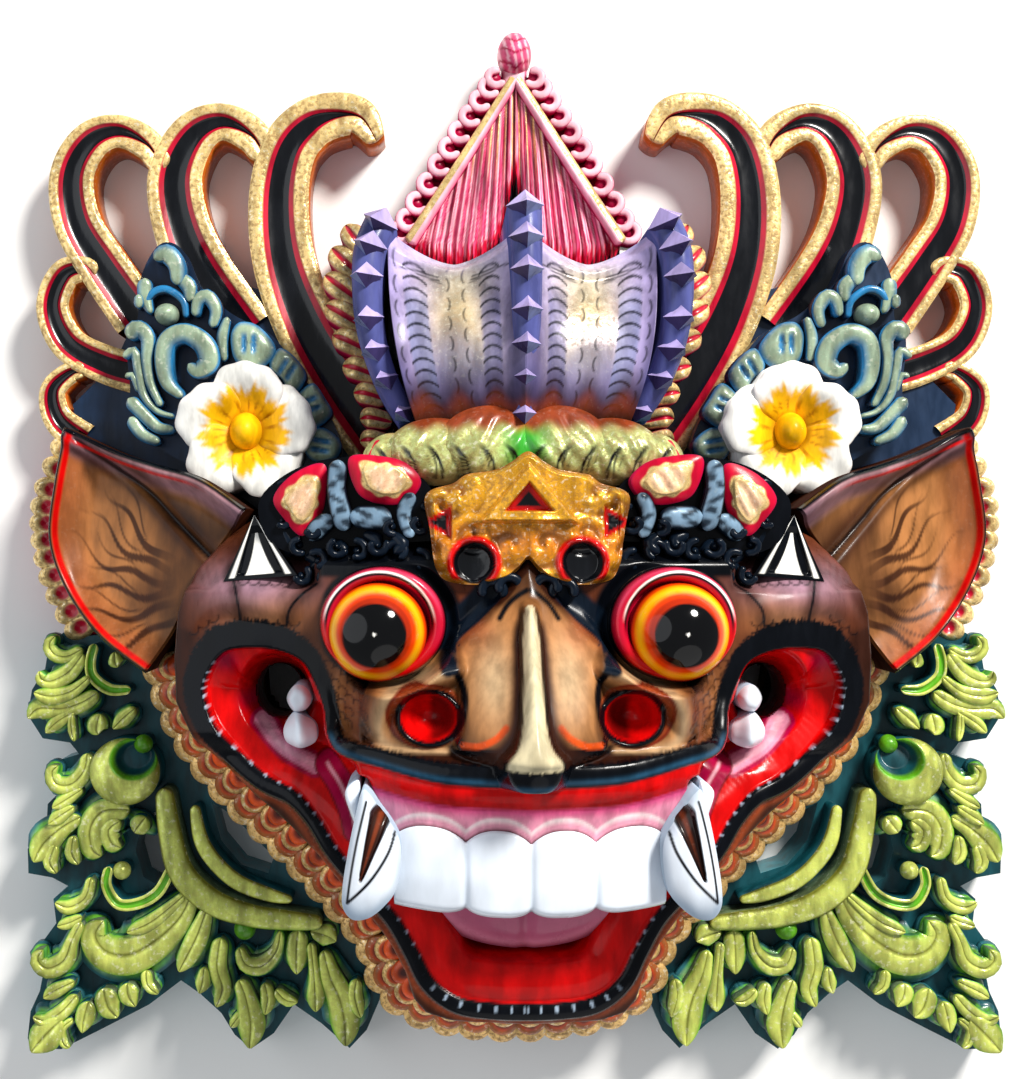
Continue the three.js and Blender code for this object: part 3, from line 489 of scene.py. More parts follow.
# Sections of the carved strips: share of the half width, share of the stripe, drop and paint


def flat_top(face, rim=None, lip=0.5):
    rim = rim or face
    return [(-1, 0, lip, rim), (-0.8, 0, 0.12, face), (-0.4, 0, 0, face), (0.4, 0, 0, face),
        (0.8, 0, 0.12, face), (1, 0, lip, rim)]


def round_top(face, edge=None, depth=2.0):
    edge = edge or face
    shares = [-1, -0.92, -0.75, -0.5, -0.25, 0, 0.25, 0.5, 0.75, 0.92, 1]
    return [(s, 0, depth * (1 - math.sqrt(max(0, 1 - s * s))), edge if abs(s) > 0.8 else face)
        for s in shares]


def spoon(rim, hollow, depth=1.6):
    return [
        (-1, 0, 0.5, rim), (-0.86, 0, 0, rim), (-0.5, 0, 0.1, rim), (-0.42, 0, 0.5, hollow),
        (0, 0, depth, hollow), (0.42, 0, 0.5, hollow), (0.5, 0, 0.1, rim), (0.86, 0, 0, rim),
        (1, 0, 0.5, rim),
    ]


ARM = [
    (-1, 0, 1.0, "leaf"), (-0.94, 0, 0.3, "leaf"), (-0.84, 0, 0, "leaf"), (-0.05, -1, 0, "leaf"),
    (0, -1, 0.4, "crimson"), (0, -0.72, 0.9, "crimson"), (0, -0.69, 1.0, "night"), (0, -0.3, 1.4, "night"),
    (0, 0.3, 1.4, "night"), (0, 0.69, 1.0, "night"), (0, 0.72, 0.9, "crimson"), (0, 1, 0.4, "crimson"),
    (0.05, 1, 0, "leaf"), (0.84, 0, 0, "leaf"), (0.94, 0, 0.3, "leaf"), (1, 0, 1.0, "leaf"),
]


# Halo of five scrolls a side: x, y, half width and the stripe's share of it

ARMS = [
    [[38.6, 113.4, 2.6, 0.02], [43, 120, 5.2, 0.04], [50, 120.8, 6.4, 0.2], [57.5, 118, 7.2, 0.42],
        [63.5, 110.5, 7.8, 0.46],
     [66, 97, 8.4, 0.48], [64.5, 80, 8.8, 0.52], [58, 62, 9.2, 0.6], [48, 45, 9.6, 0.66], [36, 28, 10, 0.66]],
    [[69.5, 108, 3.6, 0.02], [73.5, 115.2, 5.0, 0.1], [82, 119, 5.2, 0.4], [90, 115, 6.6, 0.5],
        [95, 104, 7.6, 0.54], [93.5, 91, 8, 0.54],
     [88, 78, 8.6, 0.56], [76, 60, 9, 0.6]],
    [[98.6, 105.5, 3.2, 0.02], [102.6, 112.6, 4.4, 0.1], [111, 116.5, 4.6, 0.4], [119, 113.5, 5.6, 0.5],
        [124, 104, 6.2, 0.52], [122.5, 91, 6.6, 0.54],
     [115.5, 79, 7, 0.58], [105, 64, 7.4, 0.6]],
    [[117.5, 76, 2.8, 0.05], [121, 78, 3.6, 0.35], [126.5, 76, 4.4, 0.48], [129.5, 67, 4.6, 0.5],
        [125, 57, 5, 0.56],
     [114, 51, 5.4, 0.6], [102, 48, 6, 0.6]],
    [[120.5, 48.4, 2.4, 0.05], [124, 49.2, 3, 0.35], [129.5, 44, 3.6, 0.5], [128, 36, 4.2, 0.52],
        [121, 30, 5, 0.5]],
]


def halo():
    forms = []
    for i, points in enumerate(ARMS):
        path = [[x, y, PANEL - 0.4 * i - 0.02 * k, half, stripe]
            for k, (x, y, half, stripe) in enumerate(points)]
        forms.append(band(path, ARM, spacing=0.8, ends=(0.4 if i == 0 else 0.9, 0), wall="orange"))
    ground = plate(
        [[26, 26], [44, 62], [64, 70], [84, 76], [104, 70], [112, 52], [124, 40], [122, 26], [122, -4],
            [108, -24],
         [92, -36], [70, -10]], 0, GROUND, "blue_deep", "orange",
    )
    return pair(forms + ground)


# Blue leaf clusters: fronds with half widths, and broad lobes given by their outlines

BLUE_FRONDS = [
    [(91.9, 71, 1.9), (92.3, 76.3, 2.3), (95.2, 79.6, 2.5), (98.4, 78.0, 1.4)],
    [(91.9, 73.4, 1.7), (89.0, 70.5, 2.1), (89.0, 66.6, 1.2)],
    [(101.0, 73, 2.1), (101.0, 68.0, 1.9), (99.4, 63.5, 0.8)],
    [(102.6, 68.4, 1.2), (102.5, 64.8, 1.4)],
    [(87.3, 62.6, 1.2), (86.5, 66.8, 1.7), (84.0, 68.0, 1.9), (81.7, 64.3, 1.7), (82.8, 59.6, 1.3)],
    [(78.6, 62.4, 1.0), (80.1, 56.8, 1.6), (79.5, 50.6, 1.0)],
    [(105.2, 56.4, 2.4), (103.1, 59.3, 2.3), (100.2, 56.8, 2.0), (100.4, 50.6, 1.5), (99.4, 44.4, 1.3),
        (96.5, 38.2, 1.0)],
    [(106.8, 51.4, 1.0), (103.9, 53.1, 1.3), (102.7, 47.7, 1.3), (101.2, 41.1, 1.2), (97.7, 36.9, 0.9),
        (93.1, 35.4, 0.7)],
    [(106.4, 46.2, 0.8), (104.3, 46.5, 1.0), (102.7, 42.2, 0.9)],
    [(105.4, 40.2, 2.0), (101.8, 36.5, 1.8), (97.3, 32.4, 1.6), (93.1, 32.0, 1.0)],
    [(105, 35.2, 1.8), (101.8, 30.7, 1.7), (97.0, 28.4, 1.2)],
]
BLUE_SCROLL = [(90.4, 40.7, 1.2), (94.4, 44.4, 2.1), (95.6, 50.6, 2.5), (94.4, 56.0, 2.6),
    (89.8, 57.8, 2.7), (84.8, 54.8, 3.0),
               (83.4, 50.2, 3.0), (86.5, 47.7, 2.2), (88.9, 49.4, 1.2)]
BLUE_LOBES = [
    [(74.9, 61.0), (70.3, 60.0), (65.8, 55.0), (66.2, 51.0), (71.6, 47.6), (76.3, 50.4), (77.6, 55.2),
        (77.2, 58.8)],
    [(64.1, 53.9), (60.6, 51.8), (57.3, 47.3), (58.2, 43.6), (61.2, 40.9), (63.6, 45.2), (67.0, 48.5),
        (66.2, 51.8)],
    [(55.2, 44.4), (52.3, 40.7), (50.2, 35.8), (55.8, 31.6), (58.9, 34.0), (60.6, 39.0), (58.7, 42.3)],
    [(57.7, 30.3), (52.9, 32.4), (48.0, 28.8), (48.8, 24.3), (54.2, 22.9), (57.5, 25.7)],
]


def clusters():
    top = CLUSTER
    forms = plate(
        loop_through(
            [[50, 24], [52, 38], [58, 46], [67, 58], [78, 64], [87, 72], [92, 82], [98, 83], [103, 74],
                [104, 62], [107, 57],
             [106, 44], [106, 34], [98, 27], [80, 20]], 90,
        ), GROUND, top - 6.5, "blue_deep", "blue_deep",
    )

    def tone(paint, points, along, across):
        side = smooth(0.1, 0.9, across) * np.ones_like(along)
        return blend(paint, "blue", 0.75 * side * (points[..., 2] > top - 5))

    for i, points in enumerate(BLUE_FRONDS):
        path = [[x, y, top - 0.5 * (i % 3), half * 1.05] for x, y, half in points]
        forms.append(band(path, round_top("sea", "blue", 1.4), top - 7, 0.8, wall="blue_deep", shade=tone))
    path = [[x, y, top + 1.5, half] for x, y, half in BLUE_SCROLL]
    forms.append(band(path, round_top("sea", "blue", 1.6), top - 7, 0.5, wall="blue_deep", shade=tone))
    for lobe in BLUE_LOBES:
        outline = loop_through(lobe, 60)
        middle = outline.mean(axis=0)
        turn = math.atan2(middle[1] - FLOWER[1], middle[0] - FLOWER[0])

        def high(x, y, share, middle=middle, turn=turn):
            across = -(x - middle[0]) * math.sin(turn) + (y - middle[1]) * math.cos(turn)
            out = (x - middle[0]) * math.cos(turn) + (y - middle[1]) * math.sin(turn)
            groove = line_mask(np.abs(np.abs(across) - 1.3), 0.5, 0.5) * smooth(3.4, 0.5, np.abs(out))
            return top + 1.2 - 2.4 * share**4 - 1.2 * groove

        def dye(x, y, share, middle=middle, turn=turn):
            across = -(x - middle[0]) * math.sin(turn) + (y - middle[1]) * math.cos(turn)
            out = (x - middle[0]) * math.cos(turn) + (y - middle[1]) * math.sin(turn)
            paint = blend(coat("sea", x.shape), "blue", smooth(0.75, 1.0, share))
            return blend(paint, "blue",
                line_mask(np.abs(np.abs(across) - 1.3), 0.7, 0.4) * smooth(3.6, 1.5, np.abs(out)))

        forms.append(mound(outline, top - 7, high, dye, 14, "blue_deep"))
    forms.append(ball(95.2, 63.3, top - 3.4, (3.4, 3.0, 4.6), "sea", 24, 14))
    bowl = [(100.8, 66.4, 0.9), (98.5, 69.3, 1.1), (94.8, 69.9, 1.1), (90.6, 66.8, 1.1), (89.8, 62.2, 0.9)]
    forms.append(band([[x, y, top - 1, half] for x, y, half in bowl], round_top("blue", "blue_deep", 1),
        top - 7, 0.5, wall="blue_deep"))
    return pair(forms)


# Frangipani flowers

FLOWER = [73, 31]
FLOWER_RADIUS = 17.5


def flowers():
    forms = []
    for i in range(5):
        angle = 0.35 + 2 * math.pi * i / 5
        way = np.array([math.cos(angle), math.sin(angle)])
        centre = np.array(FLOWER) + 0.52 * FLOWER_RADIUS * way

        def lift(x, y, share, way=way, i=i):
            out = np.hypot(x - FLOWER[0], y - FLOWER[1]) / FLOWER_RADIUS
            across = ((y - FLOWER[1]) * way[0] - (x - FLOWER[0]) * way[1]) / FLOWER_RADIUS
            fold = 0.5 * np.sin(7 * across + i) * smooth(0.3, 0.9, out)
            return 30.5 + 4.6 * smooth(0.15, 0.85, out) - 1.6 * share**6 + 2.8 * across + 0.1 * i + fold

        def dye(x, y, share, way=way):
            dx, dy = x - FLOWER[0], y - FLOWER[1]
            out = np.hypot(dx, dy) / FLOWER_RADIUS
            angle = np.arctan2(dy, dx)
            jag = 0.06 * np.sin(9 * angle) + 0.04 * np.sin(23 * angle + 1.3) + 0.03 * np.sin(41 * angle)
            paint = blend(coat("white", x.shape), "yellow", smooth(0.72, 0.58, out + jag))
            rays = smooth(0.55, 0.95, np.sin(17 * angle + 2.4 * np.sin(3 * angle)))
            paint = blend(paint, "yellow_deep", 0.8 * rays * bell(out, 0.4, 0.1))
            paint = blend(paint, "yellow_deep", 0.7 * smooth(0.36, 0.24, out))
            return blend(paint, "lilac", 0.25 * smooth(0.93, 1.0, share))

        ring = ellipse(*centre, 0.52 * FLOWER_RADIUS, 0.54 * FLOWER_RADIUS, 72, angle)
        spread = np.arctan2(*(ring - centre).T[::-1]) - angle
        ring = (
            centre
            + (ring - centre) * (1 + 0.07 * np.cos(spread) - 0.05 * np.sin(3 * spread + i)
                + 0.025 * np.sin(9 * spread + 2 * i))[:, None]
        )
        forms.append(mound(ring, 20, lift, dye, 20, "white"))
    core = ball(FLOWER[0], FLOWER[1], 28.5, (4.6, 5.4, 8.0), "yellow", 40, 24)
    ring = ball(FLOWER[0], FLOWER[1], 27.5, (6.6, 7.2, 4.6), "yellow_deep", 40, 16)
    return pair(forms + [core, ring])


# Ears

EAR_OUTLINE = [[71, 10], [83, 18], [96, 22], [108, 26], [122.5, 32.5], [125.5, 18], [127, 2], [122, -12],
    [112, -24],
               [98, -33], [91, -22], [84, -8]]


def ears():
    sides = [EAR_OUTLINE[0:5], EAR_OUTLINE[4:10], EAR_OUTLINE[9:] + [EAR_OUTLINE[0]]]
    outline = np.concatenate([spline(side, np.linspace(0, 1, 76))[:-1] for side in sides])
    top_edge = spline(sides[0], np.linspace(0, 1, 40))
    outer_edge = spline(sides[1], np.linspace(0, 1, 50))
    fold = spline([[121, 30], [110, 22.5], [99.5, 15], [91, 6.8], [84, 0], [80, -4]], np.linspace(0, 1, 40))
    root = np.array([80.0, -8.0])

    def high(x, y, share):
        inward = smooth(125, 74, x + 0.25 * y)
        upper, _ = nearest(x, y, top_edge)
        outer, _ = nearest(x, y, outer_edge)
        crease, _ = nearest(x, y, fold)
        rim = 3.2 * bell(upper, 2.2, 2.2) + 1.6 * bell(outer, 1.0, 1.4)
        bowl = 5 * smooth(0, 12, outer) * smooth(0, 9, upper)
        return 27 + 19 * inward - bowl + rim - 2.2 * bell(crease, 0, 1.3) - 1.5 * smooth(0.97, 1, share)

    def dye(x, y, share):
        upper, _ = nearest(x, y, top_edge)
        outer, _ = nearest(x, y, outer_edge)
        crease, _ = nearest(x, y, fold)
        way = np.arctan2(y - root[1], x - root[0])
        far = np.hypot(x - root[0], y - root[1])
        paint = coat("tan", x.shape)
        paint = blend(paint, "russet", 0.55 * smooth(14, 2, outer))
        paint = blend(paint, "umber", 0.75 * smooth(30, 14, far + 4 * np.sin(5 * way)))
        paint = blend(paint, "lilac", 0.7 * smooth(7.5, 4.5, upper))
        for k, lean in enumerate((-0.62, -0.36, -0.12, 0.1, 0.33, 0.55)):
            bend = lean + 0.012 * (far - 30) + 0.05 * np.sin(0.35 * far + 2 * k)
            gap = np.abs(way - bend) * far
            reach = smooth(10, 20, far) * smooth(50 - 3 * (k % 3), 30, far)
            paint = blend(paint, "umber", 0.9 * line_mask(gap, 0.25 + 0.9 * smooth(44, 16, far), 0.3) * reach)
            twig = np.abs(way - bend - 0.1 - 0.006 * (far - 26)) * far
            paint = blend(paint, "umber",
                0.75 * line_mask(twig, 0.35, 0.3) * smooth(20, 25, far) * smooth(40, 30, far))
        paint = blend(paint, "night", 0.95 * line_mask(crease, 0.8, 0.5) * smooth(1.5, 4, outer))
        paint = blend(paint, "umber", 0.7 * bell(crease, 2.6, 1.6))
        paint = blend(paint, "red", line_mask(np.abs(outer - 2.0), 0.65, 0.3))
        paint = blend(paint, "red", 0.8 * line_mask(np.abs(upper - 2.6), 0.4, 0.3) * smooth(80, 90, x))
        paint = blend(paint, "night", line_mask(np.minimum(outer, upper), 1.2, 0.35))
        return paint

    shell = mound(outline, GROUND / 2, high, dye, 68, "umber")
    # gilded and crimson frill behind the ear
    frill = spline([[122, -25], [129, -12], [132.5, 2], [132, 15], [126, 30]], np.linspace(0, 1, 12))
    lobes = []
    for i in range(11):
        place = frill[i] + (frill[i + 1] - frill[i]) * 0.5
        way = frill[i + 1] - frill[i]
        out = math.atan2(-way[0], way[1])
        x, y = place - 1.6 * np.array([math.cos(out), math.sin(out)])

        def curl(px, py, share, x=x, y=y):
            return PANEL - 0.4 - 1.8 * share**4 - 1.6 * bell(np.hypot(px - x, py - y), 0, 1.8)

        def gilt(px, py, share, x=x, y=y):
            return blend(coat("leaf", px.shape), "crimson",
                line_mask(np.hypot(px - x + 0.4, py - y), 2.1, 0.4))

        lobes.append(mound(ellipse(x, y, 4.9, 3.5, 30, out), 0, curl, gilt, 12, "crimson"))
    backing = band([[x, y, GROUND, 6] for x, y in [[116, -24], [122, -12], [126, 2], [126, 15], [120, 30]]],
                   flat_top("crimson"), 0, 1.2, wall="crimson")
    return pair(shell), pair(lobes + [backing])


# Fin behind the crown

FIN_FOOT = 84.0
FIN_PEAK = 128.0
FIN_HALF = 29.0


def fin():
    steps_x, steps_y = 180, 80
    across = np.linspace(-1, 1, steps_x)[None, :]
    up = np.linspace(0, 1, steps_y)[:, None]
    low = 60.0
    y = low + (FIN_PEAK - low) * up * np.ones_like(across)
    half = FIN_HALF * np.clip((FIN_PEAK - y) / (FIN_PEAK - FIN_FOOT), 0.004, 1.0)
    x = half * across
    lean = x / (0.6 + 0.4 * half / FIN_HALF)
    flute = np.sin(1.9 * lean + 1.4 * np.sin(0.7 * lean)) + 0.6 * np.sin(4.3 * lean + 2 * np.sin(0.31 * lean))
    z = 16.6 + 0.8 * flute * smooth(1.0, 0.9, np.abs(across)) - 0.8 * bell(across, 0, 0.06)
    dye = (
        0.5 + 0.25 * np.sin(3.1 * lean + 1.0 + 0.5 * np.sin(0.15 * y))
        + 0.25 * np.sin(7.3 * lean + 0.6 * np.sin(1.7 * lean))
    )
    dye = dye + 0.1 * np.sin(0.6 * y + 5 * np.sin(2.2 * lean))
    paint = coat("pink", x.shape)
    paint = blend(paint, "pink_pale", smooth(0.5, 0.72, dye))
    paint = blend(paint, "magenta", smooth(0.36, 0.2, dye))
    paint = blend(paint, "leaf",
        smooth(0.8, 0.95, 0.5 + 0.5 * np.sin(2.3 * lean + 4)) * smooth(FIN_PEAK - 30, FIN_PEAK - 12, y))
    rim = 72 + 9 * np.abs(np.abs(x) / 17 - 1) ** 1.6
    tall = 5 + 16 * bell(x, 0, 3.4)
    ragged = 1.4 * np.sin(5.1 * x) + 0.9 * np.sin(11.7 * x + 1)
    paint = blend(paint, "crimson", smooth(rim + tall + 5.5 + ragged, rim + tall + 3.5 + ragged, y))
    paint = blend(paint, "night", smooth(rim + tall + 1.4 * ragged + 1, rim + tall + 1.4 * ragged, y))
    face = np.stack([x, y, z], axis=-1)
    foot = face[:, [0, -1]].copy()
    foot[..., 2] = 0
    points = np.concatenate([foot[:, :1], face, foot[:, 1:]], axis=1)
    paint = np.concatenate([paint[:, :1], paint, paint[:, -1:]], axis=1)
    forms = [outward(surface(points, paint, wrap=True))]
    edge = [[0.4, FIN_PEAK + 1.5, 19.4, 1.5], [14.8, (FIN_PEAK + FIN_FOOT) / 2 + 0.5, 20.5, 1.7],
        [29.4, FIN_FOOT, 20.5, 1.9]]
    roll = [
        (-1, 0, 2.0, "pink"), (-0.6, 0, 0.4, "pink_pale"), (-0.2, 0, 0, "pink_pale"),
        (-0.15, 0, 0.25, "leaf"), (0.3, 0, 0.1, "leaf"), (0.8, 0, 0.9, "leaf"), (1, 0, 2.2, "magenta"),
    ]
    sides = [band(edge, roll, 0, 0.8, (0, 0.5), "magenta")]
    backing = [[2, FIN_PEAK + 4, 11, 3], [17.5, 108.5, 11, 4], [31, 86, 11, 4.5]]
    sides.append(band(backing, flat_top("magenta"), 0, 1.0, wall="magenta"))
    count = 11
    curls = spline([[4.5, 131.5], [17.6, 111.5], [31.5, 87.5]], np.linspace(0.02, 0.98, count))
    for i, (cx, cy) in enumerate(curls):
        size = 2.9 + 0.5 * i / count
        turn = np.linspace(-2.6, 2.3, 12)
        path = []
        for k, angle in enumerate(turn):
            radius = size * (1.0 - 0.045 * k)
            path.append([cx + 0.6 + radius * math.cos(angle), cy + radius * math.sin(angle), 17.2 - 0.1 * k,
                1.15 + 0.05 * (k > 8)])
        sides.append(band(path, round_top("pink_pale", "pink", 0.9), 9, 0.8, wall="magenta"))
        sides.append(ball(cx + 1.0, cy - 0.3, 13.4, (2.1, 2.1, 1.6), "magenta", 14, 8))
    knob = ball(0, 138.0, 11.5, (4.8, 6.2, 7.6), lambda p, lift: blend(
        blend(coat("pink", p.shape[:2]), "pink_pale",
            smooth(0.1, 0.8, np.sin(3.2 * p[..., 0] + 0.8 * p[..., 1]))),
        "magenta", smooth(0.75, 0.95, np.sin(1.9 * p[..., 1] - 1.2 * np.abs(p[..., 0])))), 48, 30)
    neck = band([[0, 122, 15, 3.6], [0, 136, 14, 3.4]], round_top("pink_pale", "pink"), 0, 1, (0, 0),
        "magenta")
    return forms + pair(sides) + [knob, neck]


# Crown of two shells between three toothed ridges


def crown():
    forms = []
    steps = 110
    for sign in (1, -1):
        up = np.linspace(0, 1, steps)[:, None]
        across = np.linspace(0, 1, 100)[None, :]
        width = 34.5 - 7.5 * (1 - up) ** 2
        sag = 9 * up**3 * np.abs(2 * across - 1) ** 1.5
        x = sign * across * width
        y = 31 + up * 42 + sag
        swell = 51 + 9.2 * np.sin(np.pi * np.minimum(1, up + 0.12)) - 4 * smooth(0.93, 1, up)
        valley = np.abs(2 * across - 1)
        z = swell - 7 * across**2 + 5 * valley**3
        paint = coat("lavender", z.shape)
        # painted highlight down the middle of each shell: a silver sheen with gold over it; painted shade in
        # violet where the shell meets the ridges
        sheen = bell(across, 0.5, 0.2) * bell(up, 0.62, 0.2)
        paint = blend(paint, "silver", 0.95 * bell(across, 0.48, 0.3) * smooth(0.12, 0.4, up))
        paint = blend(paint, "leaf", 0.5 * sheen)
        paint = blend(paint, "violet", 0.8 * bell(across, 0.08, 0.09) * smooth(1.0, 0.6, up))
        paint = blend(paint, "violet", 0.7 * bell(across, 1.0, 0.1) * smooth(1.0, 0.5, up))
        paint = blend(paint, "lavender_dark", 0.55 * smooth(0.55, 0.25, up + 0.2 * np.sin(9 * across)))
        for middle, wide, tone in ((0.8, 0.085, "slate"), (0.25, 0.07, "lavender_dark")):
            column = line_mask(np.abs(across - middle), wide, 0.015)
            paint = blend(paint, tone, 0.6 * column * smooth(0.85, 0.66, up) * smooth(0.02, 0.12, up))
            cell = up * 15
            local = (cell % 1.0) - 0.5
            side = (across - middle) / wide
            arc = np.abs(local - 0.25 + 0.42 * side**2)
            mark = line_mask(arc, 0.12, 0.07) * (np.abs(side) < 1.05) * smooth(0.97, 0.9, up)
            paint = blend(paint, "night", 0.92 * mark)
        for middle, lean in ((0.42, 1), (0.58, -1), (0.93, 1)):
            cell = up * 8 + 0.3 * lean
            local = (cell % 1.0) - 0.5
            side = (across - middle) * 34 / 2.2 - lean * (0.5 - 2.2 * local**2)
            mark = line_mask(np.abs(side), 0.13, 0.09) * smooth(0.42, 0.3, np.abs(local))
            paint = blend(paint, "night", 0.8 * mark * smooth(1, 0.92, up))
        for k, (low, high) in enumerate(((0.86, 0.2), (0.9, 0.3), (0.94, 0.42))):
            for flank in (-1, 1):
                curve = low - 0.5 * (np.abs(across - 0.5) - 0.2) ** 2 - 0.025 * k
                span = smooth(0.08 + 0.02 * k, 0.12, flank * (across - 0.5)) * smooth(high + 0.02,
                    high - 0.03, flank * (across - 0.5))
                paint = blend(paint, "night", 0.8 * line_mask(np.abs(up - curve) * 42, 0.22, 0.18) * span)
        paint = blend(paint, "lavender", 0.5 * smooth(0.88, 1.0, up))
        paint = blend(paint, "umber", 0.85 * smooth(0.36, 0.12, up + 0.04 * np.sin(20 * across)))
        paint = blend(paint, "russet", 0.8 * smooth(0.2, 0.06, up + 0.04 * np.sin(20 * across)))
        paint = blend(paint, "umber", 0.8 * smooth(0.12, 0.0, up))
        top = np.stack([x, y, z], axis=-1)
        side = np.stack([x[:, -1:], y[:, -1:], np.zeros((steps, 1))], axis=-1)
        inner = np.stack([x[:, :1], y[:, :1], np.zeros((steps, 1))], axis=-1)
        points = np.concatenate([inner, top, side], axis=1)
        paint = np.concatenate([paint[:, :1], paint, paint[:, -1:]], axis=1)
        # the upper rim turns down behind
        back = points[-1:].copy()
        back[..., 2] = np.minimum(back[..., 2], 14)
        back[..., 1] -= 1.0
        points = np.concatenate([points, back])
        paint = np.concatenate([paint, coat("pink_pale", paint[-1:].shape[:2])])
        forms.append(outward(surface(points, paint, wrap=True)))
    forms += ridge([[0, 86.5], [0.3, 74], [0.4, 58], [0, 43], [0, 30]], 68, 0.0)
    outer = ridge([[35.6, 84], [39.2, 74], [39, 57], [35, 43], [28, 31]], 59, 1.0)
    return forms + pair(outer)


def ridge(points, front, lean):
    """A ridge with a row of pyramid teeth down its crest."""
    teeth = 7
    path = spline(points, np.linspace(0, 1, 60))
    share = np.linspace(0, 1, 60)
    top = front - 10 * (1 - np.sin(math.pi * (0.18 + 0.72 * share)))
    body = [[x, y, t - 2.5, 4.5 - 1.8 * s] for (x, y), t, s in zip(path, top, share)][::4]
    forms = [band(body, round_top("lavender_dark", "lavender_dark", 4), 0, 0.8, (0.3, 0.3), "lavender_dark")]
    for i in range(teeth):
        at = (i + 0.45) / teeth
        (x, y), t = path[int(at * 59)], np.interp(at, share, top)
        before, after = path[max(0, int(at * 59) - 2)], path[min(59, int(at * 59) + 2)]
        way = (after - before) / np.hypot(*(after - before))
        side = np.array([-way[1], way[0]]) if way[1] < 0 else np.array([way[1], -way[0]])
        long = 3.7 - 1.0 * at
        wide = 5.0 - 2.0 * at
        corners = {
            "up": [*(np.array([x, y]) - way * long), t - 2.4],
            "right": [*(np.array([x, y]) + side * wide), t - 4.2],
            "down": [*(np.array([x, y]) + way * long), t - 2.4],
            "left": [*(np.array([x, y]) - side * wide), t - 4.2],
            "tip": [x + lean * 2.4, y - 0.2, t + 3.2 - 1.0 * at],
        }
        # painted light and shade on each tooth: the faces turned up are pale lavender, the faces turned down
        # slate and violet
        order = [("up", "right", "lavender"), ("right", "down", "slate"), ("down", "left", "violet"),
            ("left", "up", "lavender")]
        for a, b, name in order:
            triangle = np.array([corners[a], corners[b], corners["tip"]])
            normal = np.cross(triangle[1] - triangle[0], triangle[2] - triangle[0])
            if normal[2] < 0:
                triangle = triangle[[1, 0, 2]]
            forms.append({"v": triangle, "t": np.array([[0, 1, 2]]), "q": np.zeros((0, 4), int),
                "c": coat(name, (3,))})
    return forms


def crown_base():
    forms = []
    for x, y, across, along, top in ((8.5, 26, 13, 9.5, 64), (22, 24, 12.5, 8.6, 61.5), (33, 21, 8, 8, 58)):

        def high(px, py, share, top=top):
            return (
                top - 5.0 * share**4 - 2.0 * smooth(24, 32, py)
                + 0.35 * np.sin(1.3 * px + 0.9 * py + np.sin(0.7 * px)) * smooth(0.9, 0.6, share)
            )

        def dye(px, py, share):
            paint = blend(coat("grass_gold", px.shape), "grass", smooth(9, 1, np.abs(px)))
            paint = blend(paint, "russet", smooth(27.5, 31.5, py + 0.8 * np.sin(0.8 * px)))
            paint = blend(paint, "teal", 0.6 * smooth(19.5, 15.5, py))
            for k in range(6):
                cx = 4 + 6.5 * k
                gap = np.abs(np.hypot(px - cx - 4, (py - 17) * 0.8) - 7.2)
                span = smooth(cx - 4.5, cx - 3, px) * smooth(cx + 2, cx - 1, px) * (py > 17)
                paint = blend(paint, "night", line_mask(gap, 0.42, 0.2) * span)
                gap = np.abs(np.hypot(px - cx - 5.5, (py - 18) * 0.8) - 7.2)
                paint = blend(paint, "night", 0.9 * line_mask(gap, 0.3, 0.2) * span)
                gap = np.abs(px - cx - 0.3 * (py - 20))
                paint = blend(paint, "night",
                    0.7 * line_mask(gap, 0.18, 0.18) * smooth(24, 22.5, py) * smooth(16, 17, py))
            return paint

        forms.append(mound(ellipse(x, y, across, along, 80), 30, high, dye, 26, "teal"))
    forms.append(band([[40, 17, 55, 1.2], [38.5, 21, 57, 1.4], [36, 27, 55, 1.2]], flat_top("crimson"), 30,
        0.6, wall="magenta"))
    leaves = [
        (41, 80, 0.9, 9, 3.4), (43, 74, 0.75, 10, 3.6), (43.5, 67.5, 0.6, 10.5, 3.6),
        (43, 61, 0.45, 10, 3.6), (41.5, 54.5, 0.3, 9, 3.4), (39.5, 48, 0.1, 8, 3.2),
        (38, 42, -0.1, 6.5, 3.0), (37, 36, -0.3, 6, 2.8), (37, 30, -0.3, 6, 2.8),
    ]
    for x, y, angle, long, half in leaves:
        bend = [
            [x - 3, y - 2, 26, half * 0.8],
            [x + 0.5 * long * math.cos(angle), y + 0.5 * long * math.sin(angle), 29, half],
            [x + long * math.cos(angle), y + long * math.sin(angle) + 0.6, 26, half * 0.8],
        ]
        section = [
            (-1, 0, 1.6, "magenta"), (-0.8, 0, 0.3, "leaf"), (-0.3, 0, 0.1, "leaf"),
            (-0.2, 0, 0.6, "crimson"), (0.15, 0, 0.9, "crimson"), (0.25, 0, 0.2, "leaf"),
            (0.8, 0, 0.3, "leaf"), (1, 0, 1.6, "magenta"),
        ]
        forms.append(band(bend, section, 0, 0.6, wall="magenta"))
    return pair(forms)


# Diadem, brow foliage and the small plaques


